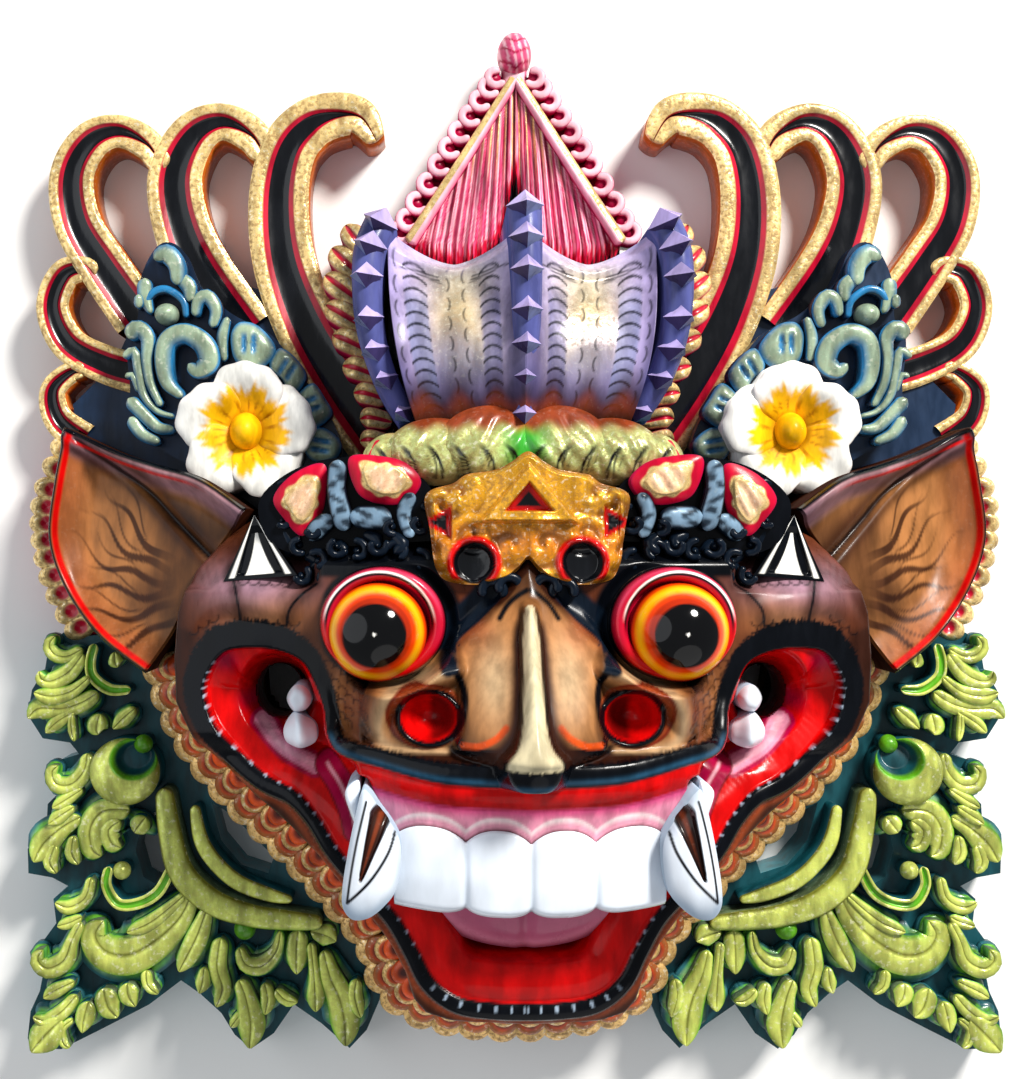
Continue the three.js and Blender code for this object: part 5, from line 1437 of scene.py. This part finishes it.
def eyes():
    around = 90
    angle = np.linspace(0, 2 * math.pi, around, endpoint=False)[None, :]
    lift = np.linspace(0.0, math.pi / 2 - 0.003, 46)[:, None]
    radius = 12.4
    px = EYE[0] + radius * np.cos(lift) * np.cos(angle)
    py = EYE[1] - 0.5 + 0.98 * radius * np.cos(lift) * np.sin(angle)
    pz = 84 - radius + radius * np.sin(lift) * np.ones_like(angle)
    flat = np.hypot(px - EYE[0], py - EYE[1] + 0.5)
    pupil = np.hypot(px - EYE[0] - 0.4, py - EYE[1] + 1.0)
    paint = coat("red_deep", px.shape)
    paint = blend(paint, "amber_deep", smooth(12.0, 11.6, flat))
    paint = blend(paint, "amber", smooth(11.5, 11.0, flat))
    paint = blend(paint, "yellow", 0.9 * bell(flat, 10.4, 0.55))
    paint = blend(paint, "amber_deep", smooth(9.8, 9.0, flat))
    paint = blend(paint, "red_deep", 0.6 * smooth(8.8, 8.0, flat))
    paint = blend(paint, "pupil", smooth(7.75, 7.35, pupil))
    # painted highlight: a small white spot on the pupil
    spot = np.hypot(px - EYE[0] - 0.4, py - EYE[1] + 0.6)
    paint = blend(paint, "white", smooth(0.5, 0.34, spot))
    eyeball = outward(surface(np.stack([px, py, pz], axis=-1), paint, wrap=True))

    def high(x, y, share):
        inward = smooth(0.62, 0.8, share)
        return (
            72.4 + 4.2 * np.sqrt(np.clip(1 - ((share - 0.86) / 0.16) ** 2, 0, 1)) * inward
            - 3.0 * smooth(0.93, 1.0, share)
        )

    def dye(x, y, share):
        up = (y - LID[1]) / 13.6
        side = (x - LID[0]) / 15.2
        paint = coat("crimson", x.shape)
        paint = blend(paint, "red", smooth(0.1, -0.6, up - 0.3 * side))
        paint = blend(paint, "pink", 0.35 * bell(share, 0.93, 0.04) * smooth(0.0, 0.5, up))
        arc = np.hypot(x - EYE[0] + 0.5, y - EYE[1] - 0.6)
        upper = smooth(0.0, 0.3, up) * smooth(1.1, 0.8, side)
        # painted highlight: a white line along the upper lid
        paint = blend(paint, "white", line_mask(np.abs(arc - 13.3), 0.28, 0.18) * upper)
        paint = blend(paint, "night", line_mask(np.abs(arc - 12.75), 0.32, 0.18) * smooth(-0.3, 0.1, up))
        return blend(paint, "night", smooth(0.955, 0.985, share))

    lid = mound(ellipse(*LID, 15.4, 13.9, 100), 50, high, dye, 48, "night")
    return pair(eyeball, lid)


def tooth_strip():
    """The four upper teeth, carved as one strip that folds back at its lower edge and its ends."""
    half = 32.4
    xs = np.linspace(-half, half, 160)[:, None]
    t = tooth_share(xs)
    joint = bell(np.abs(t), 1.0, 0.10) * (np.abs(xs) < 29)
    front = 87.6 - 8 * (xs / 36) ** 2 - 0.55 * joint - 0.5 * np.abs(t) ** 3
    top = scallop(xs) + 0.95
    low = -86.2 + 0.0018 * xs**2 + 1.5 * np.abs(t) ** 3 * (np.abs(xs) < 25)
    stations = []
    for share, drop in [(s, 1.1 * (2 * s - 1) ** 2 + 1.6 * smooth(0.9, 1.0, s) ** 2)
            for s in np.linspace(0, 1, 34)]:
        stations.append((top + (low - top) * share, front - drop, share))
    for drop, inward in ((4.5, 0.5), (8, 1.0), (16, 1.6), (30, 2.4)):
        stations.append((low + inward, front - drop, 1.2))
    stations.append((top + 0 * xs, front - 30, -0.2))
    stations.append((top + 0 * xs, front - 10, -0.1))
    y = np.concatenate([s[0] for s in stations], axis=1)
    z = np.concatenate([s[1] for s in stations], axis=1)
    x = np.broadcast_to(xs, y.shape)
    share = np.broadcast_to(np.array([s[2] for s in stations]), y.shape)
    paint = coat("tooth", y.shape)
    paint = blend(paint, "tooth_shade",
        0.3 * joint * smooth(0.0, 0.2, share) + 0.6 * smooth(0.93, 1.1, share))
    paint = blend(paint, "tooth_shade",
        0.25 * bell(np.abs(t), 1.04, 0.05) * (np.abs(xs) < 18) * np.ones_like(share))
    points = np.stack([x, y, z], axis=-1)
    points[0] = points[0].mean(axis=0)
    points[-1] = points[-1].mean(axis=0)
    return outward(surface(points, paint, wrap=True))


def fang():
    outline = loop_through(
        [[39.3, -56.4], [41.0, -63], [42.6, -71], [43.8, -79], [43.6, -83.4], [41.4, -86.0], [37.8, -85.6],
            [34.2, -83], [31.6, -79.6],
         [30.4, -74], [30.4, -68.4], [32.4, -64.0], [35.2, -60.2], [37.4, -57.0]], 120,
    )
    outer_line = fine_line([[38.2, -58.6], [40.2, -67], [41.6, -74.5], [42.6, -81.5]], 40)
    lower_line = fine_line([[31.6, -65.6], [33.2, -70.4], [37.2, -76.4], [42.6, -81.9]], 40)

    def groove_share(x, y):
        middle = fine_line([[34.9, -61.8], [37.2, -69], [39.5, -76.5]], 30)
        gap, at = nearest(x, y, middle)
        return gap / (0.35 + 2.2 * (1 - at[..., -1]))

    def high(x, y, share):
        lean = 90.5 - 0.10 * (x - 31) - 0.0035 * (y + 72) ** 2
        return lean - 2.2 * share**4 - 2.0 * smooth(1.1, 0.6, groove_share(x, y)) - 1.8 * smooth(38, 31, x)

    def dye(x, y, share):
        paint = blend(coat("tooth", x.shape), "tooth_shade",
            0.6 * smooth(0.7, 1.0, share) + 0.5 * smooth(-78, -84, y))
        inside = smooth(1.15, 0.95, groove_share(x, y))
        paint = blend(paint, "night", inside)
        paint = blend(paint, "umber", smooth(0.85, 0.65, groove_share(x, y)))
        paint = blend(paint, "russet", 0.6 * smooth(0.4, 0.1, groove_share(x, y)))
        for line, half in ((outer_line, 0.3), (lower_line, 0.36)):
            gap, _ = nearest(x, y, line)
            paint = blend(paint, "night", line_mask(gap, half, 0.2))
        return paint

    return mound(outline, 50, high, dye, 60, "tooth_shade")


def teeth():
    chip = mound(loop_through([[40.4, -55.2], [43.6, -57.8], [42.6, -62.4], [40.8, -66.0], [40.2, -60.6]],
        40), 52, lambda x, y, s: 80 - 2 * s**4 + 0 * x, "tooth", 12, "tooth_shade")
    molars = [
        mound(loop_through([[57.8, -41.4], [60.2, -45.2], [59.4, -49.0], [55.6, -50.2], [52.2, -48.6],
            [52.2, -44.6], [54.6, -42.4]], 60), 42,
              lambda x, y, s: 60.5 - 3.0 * s**4 + 0.9 * np.cos((x - 56) * 1.1), "tooth", 20, "tooth_shade"),
        mound(loop_through([[57.6, -34.6], [59.4, -37.8], [57.6, -41.0], [54.4, -40.4], [53.2, -37.4],
            [55.0, -34.8]], 50), 42,
              lambda x, y, s: 61.5 - 3.4 * s**4 + 0 * x, "tooth", 18, "tooth_shade"),
    ]
    tongue_loop = loop_through(whole([[0, -80], [18, -78.5], [27.5, -77], [27.8, -84], [22.5, -92.2],
        [13, -97.6], [0, -99.6]]), 160)

    def tongue_paint_and_shadow(x, y, share):
        paint = blend(coat("mauve", x.shape), "gum", 0.55 * bell(share, 0.86, 0.1) * smooth(-84, -90, y))
        # painted shadow: the top of the tongue, under the teeth, turns dark red
        return blend(paint, "red_deep", 0.6 * smooth(-86, -80, y))

    tongue = mound(tongue_loop, 44, lambda x, y,
        s: 67.5 - 7 * s**3 - 1.2 * bell(x, 0, 1.6) + 0.02 * (y + 90), tongue_paint_and_shadow, 30, "red_deep")
    return [tooth_strip(), tongue] + pair(fang(), chip, *molars)


# Ruff of coin-like scales round the jaw

RUFF = [
    [99, -30], [94.5, -44], [89.5, -54], [80, -66], [70.5, -75.5], [62.5, -83], [56, -90], [49.8, -96.8],
    [44, -103.4], [39.4, -110.4], [37.2, -117.4], [33, -123.6], [25.5, -128], [13, -130.6], [0, -131.4],
]


def ruff():
    path = spline([[-x, y] for x, y in RUFF] + RUFF[-2::-1], np.linspace(0, 1, 500))
    step = np.hypot(*np.diff(path, axis=0).T)
    along = np.concatenate([[0], np.cumsum(step)])
    count = 40
    forms = []
    for i in range(count):
        where = along[-1] * (i + 0.5) / count
        x, y = np.interp(where, along, path[:, 0]), np.interp(where, along, path[:, 1])
        ax, ay = np.interp(where + 1, along, path[:, 0]), np.interp(where + 1, along, path[:, 1])
        out = math.atan2(-(ax - x), ay - y)
        mirror = -1 if x < 0 else 1
        turn = out - 0.3 * mirror
        for k, (back, across, deep, top) in enumerate(((-0.2, 4.8, 4.7, 23.5), (2.4, 4.4, 4.5, 25.8),
                (4.8, 3.9, 4.2, 27.8), (7.2, 3.3, 4.0, 29.6))):
            spot = np.array([x, y]) - back * np.array([math.cos(out), math.sin(out)])
            way = np.array([math.cos(turn), math.sin(turn)])

            def high(px, py, share, spot=spot, way=way, top=top):
                a = (px - spot[0]) * way[0] + (py - spot[1]) * way[1]
                return top - 0.22 * (a + 3) - 1.1 * share**5

            def dye(px, py, share, spot=spot, way=way, k=k):
                a = (px - spot[0]) * way[0] + (py - spot[1]) * way[1]
                edge = smooth(0.66, 0.76, share) if k else smooth(0.3, 0.5, share + 0.1 * a)
                paint = blend(coat("maroon", px.shape), "ember", 0.8 * smooth(0.35, 0.6, share) * (1 - edge))
                return blend(paint, ("ruff_gold", "copper", "ruff_gold", "ember")[k], edge)

            forms.append(mound(ellipse(*spot, deep, across, 22, turn), 8, high, dye, 8, "maroon", 0.8))
    outer = [[93, -22], [93, -44], [74, -66], [52, -88], [38, -104], [32, -116], [22, -124], [0, -126.5]]
    inner = [[0, -102], [20, -100], [38, -88], [54, -68], [70, -50], [76, -28]]
    opposite = [[-x, y] for x, y in outer[-2::-1]] + [[-x, y] for x, y in inner[:0:-1]]
    ground = plate(outer + opposite + inner, 0.05, 15.5, "maroon", "umber")
    return forms, ground


# Green leaves: fronds with half widths

LEAF_OUTLINE = [
    (94, -22), (120, -25), (126.5, -24.0), (130.6, -28.4), (131.5, -34), (135.2, -40), (136.4, -47.0),
    (132.2, -53.6), (124.5, -54.8), (122, -58), (127.2, -59.6), (130.6, -64.0), (127.2, -68.4),
    (130.8, -72.0), (131, -76), (136.4, -84.6), (136.2, -91.4), (129.5, -92.6), (125, -95), (129.2, -98.6),
    (128.4, -105.4), (134.4, -113.6), (132.0, -119.2), (133, -124.4), (135.6, -130.1), (136.4, -137.6),
    (135.4, -140.4), (127.0, -140.7), (116.0, -135.2), (102.4, -128.2), (93.4, -121.4), (88, -125.2),
    (82.1, -130.6), (78.4, -136.6), (73.8, -140.6), (67.4, -136.2), (61.8, -128.1), (54.0, -133.5),
    (46.2, -140.4), (41.4, -135.3), (34, -118), (48, -97), (62, -84), (76, -66), (90, -46),
]
LEAF_HOLES = [
    [(104.6, -76.2), (99.4, -73.6), (96.6, -80), (95.6, -88), (93.2, -95), (98.2, -95.6), (104, -92.5),
        (106.2, -85)],
    [(85, -71.5), (79.4, -74.8), (67.4, -86.8), (69, -91.4), (76.4, -89), (82.2, -82)],
]
FRONDS = [
    [(119.4, -28.1, 1.2), (123.6, -30.2, 1.5), (127.1, -29.5, 1.7), (128.6, -26.9, 1.5), (126.8, -24.6, 1.1)],
    [(119.1, -29.5, 1.4), (122.9, -34.4, 2.1), (127.5, -36.9, 2.1), (130.4, -36.5, 1.6), (131.0, -34.1, 0.9)],
    [(117.3, -35.8, 0.9), (122.2, -39.7, 1.6), (127.8, -41.1, 2.1), (132.3, -39.9, 2.1)],
    [(115.2, -40.1, 1.4), (119.4, -42.9, 2.1), (125.0, -44.6, 2.1), (131.3, -44.6, 2.5), (134.2, -47.1, 2.1)],
    [(121.5, -45.3, 1.1), (126.1, -48.1, 1.6), (129.2, -51.0, 2.1)],
    [(122.2, -46.0, 0.7), (122.2, -50.2, 1.0), (121.2, -53.3, 0.6)],
    [(114.5, -46.0, 1.8), (115.4, -49.9, 2.5), (114.9, -51.6, 1.9)],
    [(104.7, -44.3, 1.1), (107.9, -47.1, 1.8), (110.7, -49.9, 1.6)],
    [(110.3, -28.8, 0.7), (110.1, -31.6, 1.8), (109.4, -33.0, 1.1)],
    [(118.0, -56.9, 1.6), (118.7, -61.4, 1.9), (122.2, -65.3, 2.1), (126.4, -65.3, 2.1),
        (127.8, -62.1, 1.6), (126.0, -60.2, 1.2)],
    [(119.4, -66.7, 0.8), (124.3, -69.9, 1.6), (127.4, -71.6, 2.1)],
    [(121.6, -71.5, 1.0), (126.0, -74.4, 1.8), (128.4, -76.0, 1.8)],
    [(120.1, -74.4, 1.5), (125.1, -77.4, 2.3), (130.0, -81.9, 3.4), (132.6, -86.6, 3.6)],
    [(126.7, -82.0, 1.3), (128.2, -86.6, 1.8), (126.2, -89.6, 1.8)],
    [(121.6, -79.5, 1.0), (122.1, -84.0, 1.8), (120.1, -87.1, 1.8)],
    [(106.4, -72.4, 2.0), (113.5, -72.9, 3.0), (117.0, -77.4, 3.0), (116.5, -83.0, 2.8), (114.0, -85.0, 1.5)],
    [(108.9, -75.4, 1.5), (112.0, -77.9, 2.2), (111.0, -81.5, 2.3), (108.4, -82.5, 1.3)],
    [(101.8, -74.3, 2.3), (104.8, -78.3, 3.0)],
    [(117.0, -91.1, 1.1), (118.6, -96.7, 1.5), (123.1, -99.2, 1.8), (126.7, -97.7, 1.5)],
    [(119.6, -101.8, 1.0), (122.6, -103.3, 1.4), (126.0, -104.1, 1.9)],
    [(119.6, -103.3, 1.3), (122.1, -108.3, 1.5), (124.1, -113.6, 2.3), (128.7, -115.9, 2.4),
        (131.6, -113.4, 1.9), (130.0, -110.6, 1.0)],
    [(88.7, -94.2, 1.5), (92.2, -101.8, 2.8), (98.8, -108.3, 4.1), (106.4, -112.4, 4.6),
        (113.0, -111.4, 4.3), (116.0, -106.8, 3.3), (113.5, -102.8, 2.0)],
    [(91.2, -95.7, 1.0), (96.3, -100.2, 1.6), (101.3, -103.8, 1.9), (106.9, -105.8, 1.8)],
    [(121.6, -119.5, 1.0), (126.7, -122.0, 1.8), (129.7, -123.7, 2.3)],
    [(121.1, -123.5, 1.3), (124.6, -127.6, 1.8), (129.2, -130.5, 1.8), (132.7, -129.0, 1.0)],
    [(125.1, -130.1, 2.3), (129.7, -134.8, 3.8), (133.2, -138.7, 3.0)],
    [(117.5, -125.1, 1.8), (118.6, -129.6, 2.3), (119.1, -133.3, 1.4)],
    [(122.1, -130.1, 0.8), (125.0, -132.7, 1.0), (124.6, -136.4, 1.2), (122.6, -137.6, 1.0)],
    [(113.5, -121.5, 2.5), (112.0, -126.5, 2.9), (109.4, -129.2, 2.2)],
    [(106.9, -120.0, 2.3), (106.4, -123.4, 2.4), (104.4, -126.1, 1.5)],
    [(101.8, -116.6, 1.3), (101.3, -120.6, 1.4), (98.3, -122.8, 1.3)],
    [(84.9, -99.4, 1.3), (87.9, -107.7, 2.6), (92.6, -116.6, 2.4)],
    [(85.7, -115.6, 0.9), (86.2, -120.0, 1.8), (87.0, -122.5, 1.5)],
    [(81.3, -107.7, 1.8), (82.2, -115.6, 2.2), (80.7, -121.7, 2.0), (82.4, -126.4, 2.3)],
    [(76.1, -110.3, 1.1), (74.3, -114.7, 2.0), (70.0, -115.2, 2.2), (66.0, -111.2, 1.5), (64.7, -105.5, 1.1)],
    [(76.1, -119.1, 1.8), (74.3, -123.5, 2.2), (72.8, -130.9, 3.3), (73.2, -137.6, 3.0)],
    [(75.2, -127.9, 1.1), (78.4, -131.9, 1.8)],
    [(69.1, -120.0, 1.3), (68.2, -124.4, 1.8), (69.0, -128.4, 1.7)],
    [(66.0, -121.7, 1.1), (63.4, -124.4, 1.6), (59.9, -124.8, 1.3)],
    [(59.9, -105.5, 2.2), (60.3, -111.2, 2.5), (60.3, -117.4, 2.3)],
    [(56.4, -109.0, 1.1), (55.5, -117.8, 1.3), (55.1, -124.4, 2.3), (55.1, -127.6, 2.6)],
    [(56.4, -105.5, 1.3), (52.0, -106.8, 2.6), (49.4, -108.2, 1.8)],
    [(52.9, -111.2, 1.3), (51.1, -118.2, 2.6), (48.4, -124.4, 3.2), (47.0, -130.9, 3.4), (46.8, -137.2, 2.8)],
    [(43.8, -119.0, 1.3), (44.3, -123.5, 1.8), (42.7, -129.2, 1.9)],
]
LEAF_SPOONS = [
    [(115.9, -26.7, 1.3), (117.1, -31.6, 1.5), (116.3, -35.8, 1.6), (111.7, -39.2, 1.6), (106.1, -39.2, 1.2)],
    [(112.0, -88.1, 1.3), (112.7, -93.1, 1.5), (109.4, -98.2, 1.6), (103.4, -97.9, 1.6), (98.3, -94.7, 1.6),
        (94.7, -88.1, 1.4)],
]
ARC_OUTER = [(96.8, -66.1, 2.4), (95.2, -77.9, 3.2), (92.0, -89.3, 3.6), (84.0, -97.2, 3.6),
    (73.5, -101.1, 3.2), (63.4, -102.5, 2.8), (53.2, -103.3, 2.0)]
ARC_INNER = [(88.4, -71.0, 1.4), (86.6, -80.5, 2.1), (82.4, -87.1, 2.2), (76.1, -92.4, 2.2),
    (67.3, -95.8, 1.9), (61.5, -97.0, 1.0)]


def leaves():
    forms = plate(LEAF_OUTLINE, 0, LEAF_GROUND, "teal", "teal_light", LEAF_HOLES)

    def leaf_edge(paint, points, along, across):
        vein = 0.5 + 0.5 * np.sin(16 * along + 3 * np.abs(across))
        paint = blend(paint, "teal_light", 0.6 * vein)
        return blend(paint, "olive", 0.7 * smooth(0.7, 1.0, vein) * smooth(0.9, 0.5, np.abs(across)))

    # painted light and shade on the fronds: lime on one edge as a painted highlight, dark olive on the other
    # edge's top as painted shade
    def painted_light(paint, points, along, across):
        paint = blend(paint, "lime", 0.6 * smooth(0.55, 0.95, across) * smooth(0.5, 0.9, along))
        return blend(paint, "olive_dark",
            0.5 * smooth(-0.2, -0.9, across) * (points[..., 2] > LEAF_GROUND + 4))

    frond = [
        (-1, 0, 0.9, "lime"), (-0.8, 0, 0.25, "olive"), (-0.3, 0, 0.0, "olive"), (-0.12, 0, 0.25, "olive"),
        (0.05, 0, 0.75, "olive_dark"), (0.2, 0, 0.3, "olive"), (0.75, 0, 0.3, "olive"),
        (1, 0, 1.1, "lime"),
    ]
    for i, points in enumerate(FRONDS):
        path = [[x, y, LEAF_TOP + 0.35 * (i % 3), 1.2 * half] for x, y, half in points]
        path[-1][3] *= 0.8
        path[-1][2] += 0.9
        forms.append(band(path, frond, LEAF_GROUND - 1, 1.1, (1.0, 2.2), wall="teal", shade=painted_light))
        under = [[min(x, 136 - 1.9 * half), max(y, -140.2 + 1.9 * half), LEAF_TOP - 3.6 + 0.3 * (i % 2),
            1.9 * half] for x, y, half in points]
        forms.append(band(under, round_top("lime", "teal", 1.6), LEAF_GROUND - 1, 1.4, wall="teal",
            shade=leaf_edge))
    for points in LEAF_SPOONS:
        path = [[x, y, LEAF_TOP, half] for x, y, half in points]
        forms.append(band(path, spoon("olive", "lime", 1.0), LEAF_GROUND - 1, 0.55, wall="teal"))
    forms.append(band([[x, y, LEAF_TOP + 2, h] for x, y, h in ARC_OUTER],
        round_top("olive", "olive_dark", 1.8), 4, 0.7, wall="teal", shade=painted_light))
    forms.append(band([[x, y, LEAF_TOP + 1, h] for x, y, h in ARC_INNER],
        round_top("olive", "olive_dark", 1.2), 4, 0.7, wall="teal"))
    # spiral boss: a dome with a spoon-shaped hollow
    bx, by, radius = 107.2, -61.5, 9.6
    hollow = np.array([104.2, -57.6])

    def boss_high(x, y, share):
        dent = np.hypot((x - hollow[0]) / 6.2, (y - hollow[1]) / 5.4)
        return 22.5 + 4.6 * np.sqrt(np.maximum(0, 1 - share**2)) - 5.2 * smooth(1.05, 0.55, dent)

    def boss_dye(x, y, share):
        dent = np.hypot((x - hollow[0]) / 6.2, (y - hollow[1]) / 5.4)
        paint = blend(coat("olive", x.shape), "olive_dark", 0.6 * smooth(0.8, 1.0, share))
        paint = blend(paint, "lime", smooth(1.12, 1.0, dent))
        return blend(paint, "teal", smooth(0.9, 0.78, dent))

    forms.append(mound(ellipse(bx, by, radius, radius * 0.96, 90), LEAF_GROUND - 1, boss_high, boss_dye, 44,
        "teal"))
    for x, y, r, top, name in ((102.6, -54.2, 2.6, 22.5, "lime"), (108.7, -89.3, 2.5, 21.5, "olive"),
            (74.8, -105.5, 3.0, 21.5, "lime")):
        forms.append(ball(x, y, top - r, (r, r, r * 1.1), name, 24, 14))
        forms.append(ball(x, y, 14, (r * 0.9, r * 0.9, 5), "teal", 16, 8))
    return pair(forms)


# Back: flat rim, gouged hollow and the hanging notch

HOLLOW = [[0, 24], [28, 22], [52, 12], [68, -6], [74, -28], [68, -48], [52, -66], [36, -86], [18, -98],
    [0, -100]]
BACK_OUTLINE = [
    [0, 70], [30, 66], [40, 40], [60, 30], [84, 20], [96, 0], [99, -28], [92, -44], [74, -66], [56, -84],
    [44, -98], [37, -110], [30, -120], [0, -126],
]


def back():
    hollow = whole(HOLLOW)
    line = np.array(hollow + hollow[:1])

    def high(x, y):
        gap, _ = nearest(x, y, line)
        deep = np.where(within(x, y, hollow), 28.6 * np.sqrt(np.clip(gap / 16, 0, 1)), 0.0)
        gouges = 0.5 * np.abs(np.sin(0.42 * x + 0.2 * y)) * (deep > 4)
        notch = (np.abs(x) < 12) & (y > 44) & (y < 52)
        return np.maximum(np.where(notch, 10.0, deep - gouges), 0.06)

    def dye(x, y, z):
        paint = blend(coat("wood", x.shape), "wood_dark",
            0.35 + 0.3 * np.sin(0.9 * x + 0.4 * np.sin(0.1 * y)))
        return blend(paint, "wood_dark", smooth(2, 20, z) * 0.7)

    def keep(x, y):
        return within(x, y, whole(BACK_OUTLINE)) & (hole_share(np.abs(x), y) > 1)

    form = relief((-99, 99), (-126, 70), 1.5, high, dye, keep)
    form["q"] = form["q"][:, ::-1]
    return [form]


# Pieces

gilt = painted("gilt_paint", speckle=850, worn=0.43, wear=0.65)
leaf_gilt = painted("leaf_gilt", speckle=700, worn=0.42, wear=0.3, tone=0.45)
gloss = painted("gloss_paint", speckle=900, tone=0.3, bump=0.22, coat_share=0.03, shine=0.13)
enamel = painted("enamel_paint", tone=0.06, bump=0.05, coat_share=0.3, shine=0.15)
bare = painted("bare_wood", tone=0.6, brush=(1.0, 0.08, 1.0), bump=0.6, coat_share=0.0)

build("halo", halo(), gilt)
build("leaf_clusters", clusters(), leaf_gilt)
build("flowers", flowers(), gloss)
ear_shells, ear_frills = ears()
build("ears", ear_shells, gloss)
build("ear_frills", ear_frills, gilt)
build("fin", fin(), gloss)
build("crown", crown(), gloss)
build("crown_base", crown_base(), gilt)
build("diadem", diadem(), gilt)
build("brow", brow(), gloss)
lower_face, upper_face = face()
build("face_lower", lower_face, gloss)
build("face_upper", upper_face, gloss)
build("eyes", eyes(), enamel)
build("teeth", teeth(), enamel)
ruff_lobes, ruff_ground = ruff()
build("ruff", ruff_lobes, gilt)
build("ruff_ground", ruff_ground, gloss)
build("green_leaves", leaves(), leaf_gilt)
build("back", back(), bare)


# Floor, light and camera


def floor():
    size = 1.5
    mesh = bpy.data.meshes.new("floor")
    mesh.from_pydata([(-size, -size, 0), (size, -size, 0), (size, size, 0), (-size, size, 0)], [],
        [(0, 1, 2, 3)])
    material = bpy.data.materials.new("floor_paint")
    n = Nodes(material)
    cloud = n.noise(6.0, 3.0)
    n.plug(n.shader.inputs["Base Color"], n.mix(cloud, (0.80, 0.79, 0.77, 1), (0.88, 0.87, 0.85, 1)))
    n.plug(n.shader.inputs["Roughness"], 0.85)
    mesh.materials.append(material)
    piece = bpy.data.objects.new("floor", mesh)
    bpy.context.scene.collection.objects.link(piece)
    return piece


def area_light(name, place, aim, size, watts, colour):
    light = bpy.data.lights.new(name, "AREA")
    light.shape = "DISK"
    light.size = size
    light.energy = watts
    light.color = colour
    lamp = bpy.data.objects.new(name, light)
    lamp.location = place
    lamp.rotation_euler = (Vector(aim) - Vector(place)).to_track_quat("-Z", "Y").to_euler()
    bpy.context.scene.collection.objects.link(lamp)
    return lamp


LIT_MIDDLE = (0, 0, 0.03)
WIDE_LAMP = 1.6
WARM_WHITE = (1.0, 0.97, 0.92)
COOL_WHITE = (0.92, 0.96, 1.0)
lights = [
    area_light("key", (0.55, 0.75, 0.75), LIT_MIDDLE, 0.28, 25, WARM_WHITE),
    area_light("fill", (-1.1, 0.2, 0.9), LIT_MIDDLE, WIDE_LAMP, 8.5, COOL_WHITE),
    area_light("low_fill", (0.4, -1.3, 0.9), LIT_MIDDLE, WIDE_LAMP, 5, (1.0, 0.98, 0.95)),
]
floor()

world = bpy.data.worlds.new("studio")
world.use_nodes = True
sky = next(n for n in world.node_tree.nodes if n.type == "BACKGROUND")
sky.inputs[0].default_value = (0.9, 0.94, 1.0, 1)
sky.inputs[1].default_value = 0.35
bpy.context.scene.world = world
bpy.context.scene.view_settings.view_transform = "Standard"
bpy.context.scene.view_settings.look = "Medium Contrast"

# The camera looks straight down from a little left of the middle
EYE_ASIDE = -0.023
EYE_LEVEL = 0.430
SENSOR_WIDTH = 36.0
LENS = 49.65
SHIFT_ACROSS = 0.0738
SHIFT_UP = 0.007
camera_data = bpy.data.cameras.new("camera")
camera_data.sensor_width = SENSOR_WIDTH
camera_data.lens = LENS
camera_data.shift_x = SHIFT_ACROSS
camera_data.shift_y = SHIFT_UP
camera = bpy.data.objects.new("camera", camera_data)
camera.location = (EYE_ASIDE, 0.0, EYE_LEVEL)
bpy.context.scene.collection.objects.link(camera)
bpy.context.scene.camera = camera
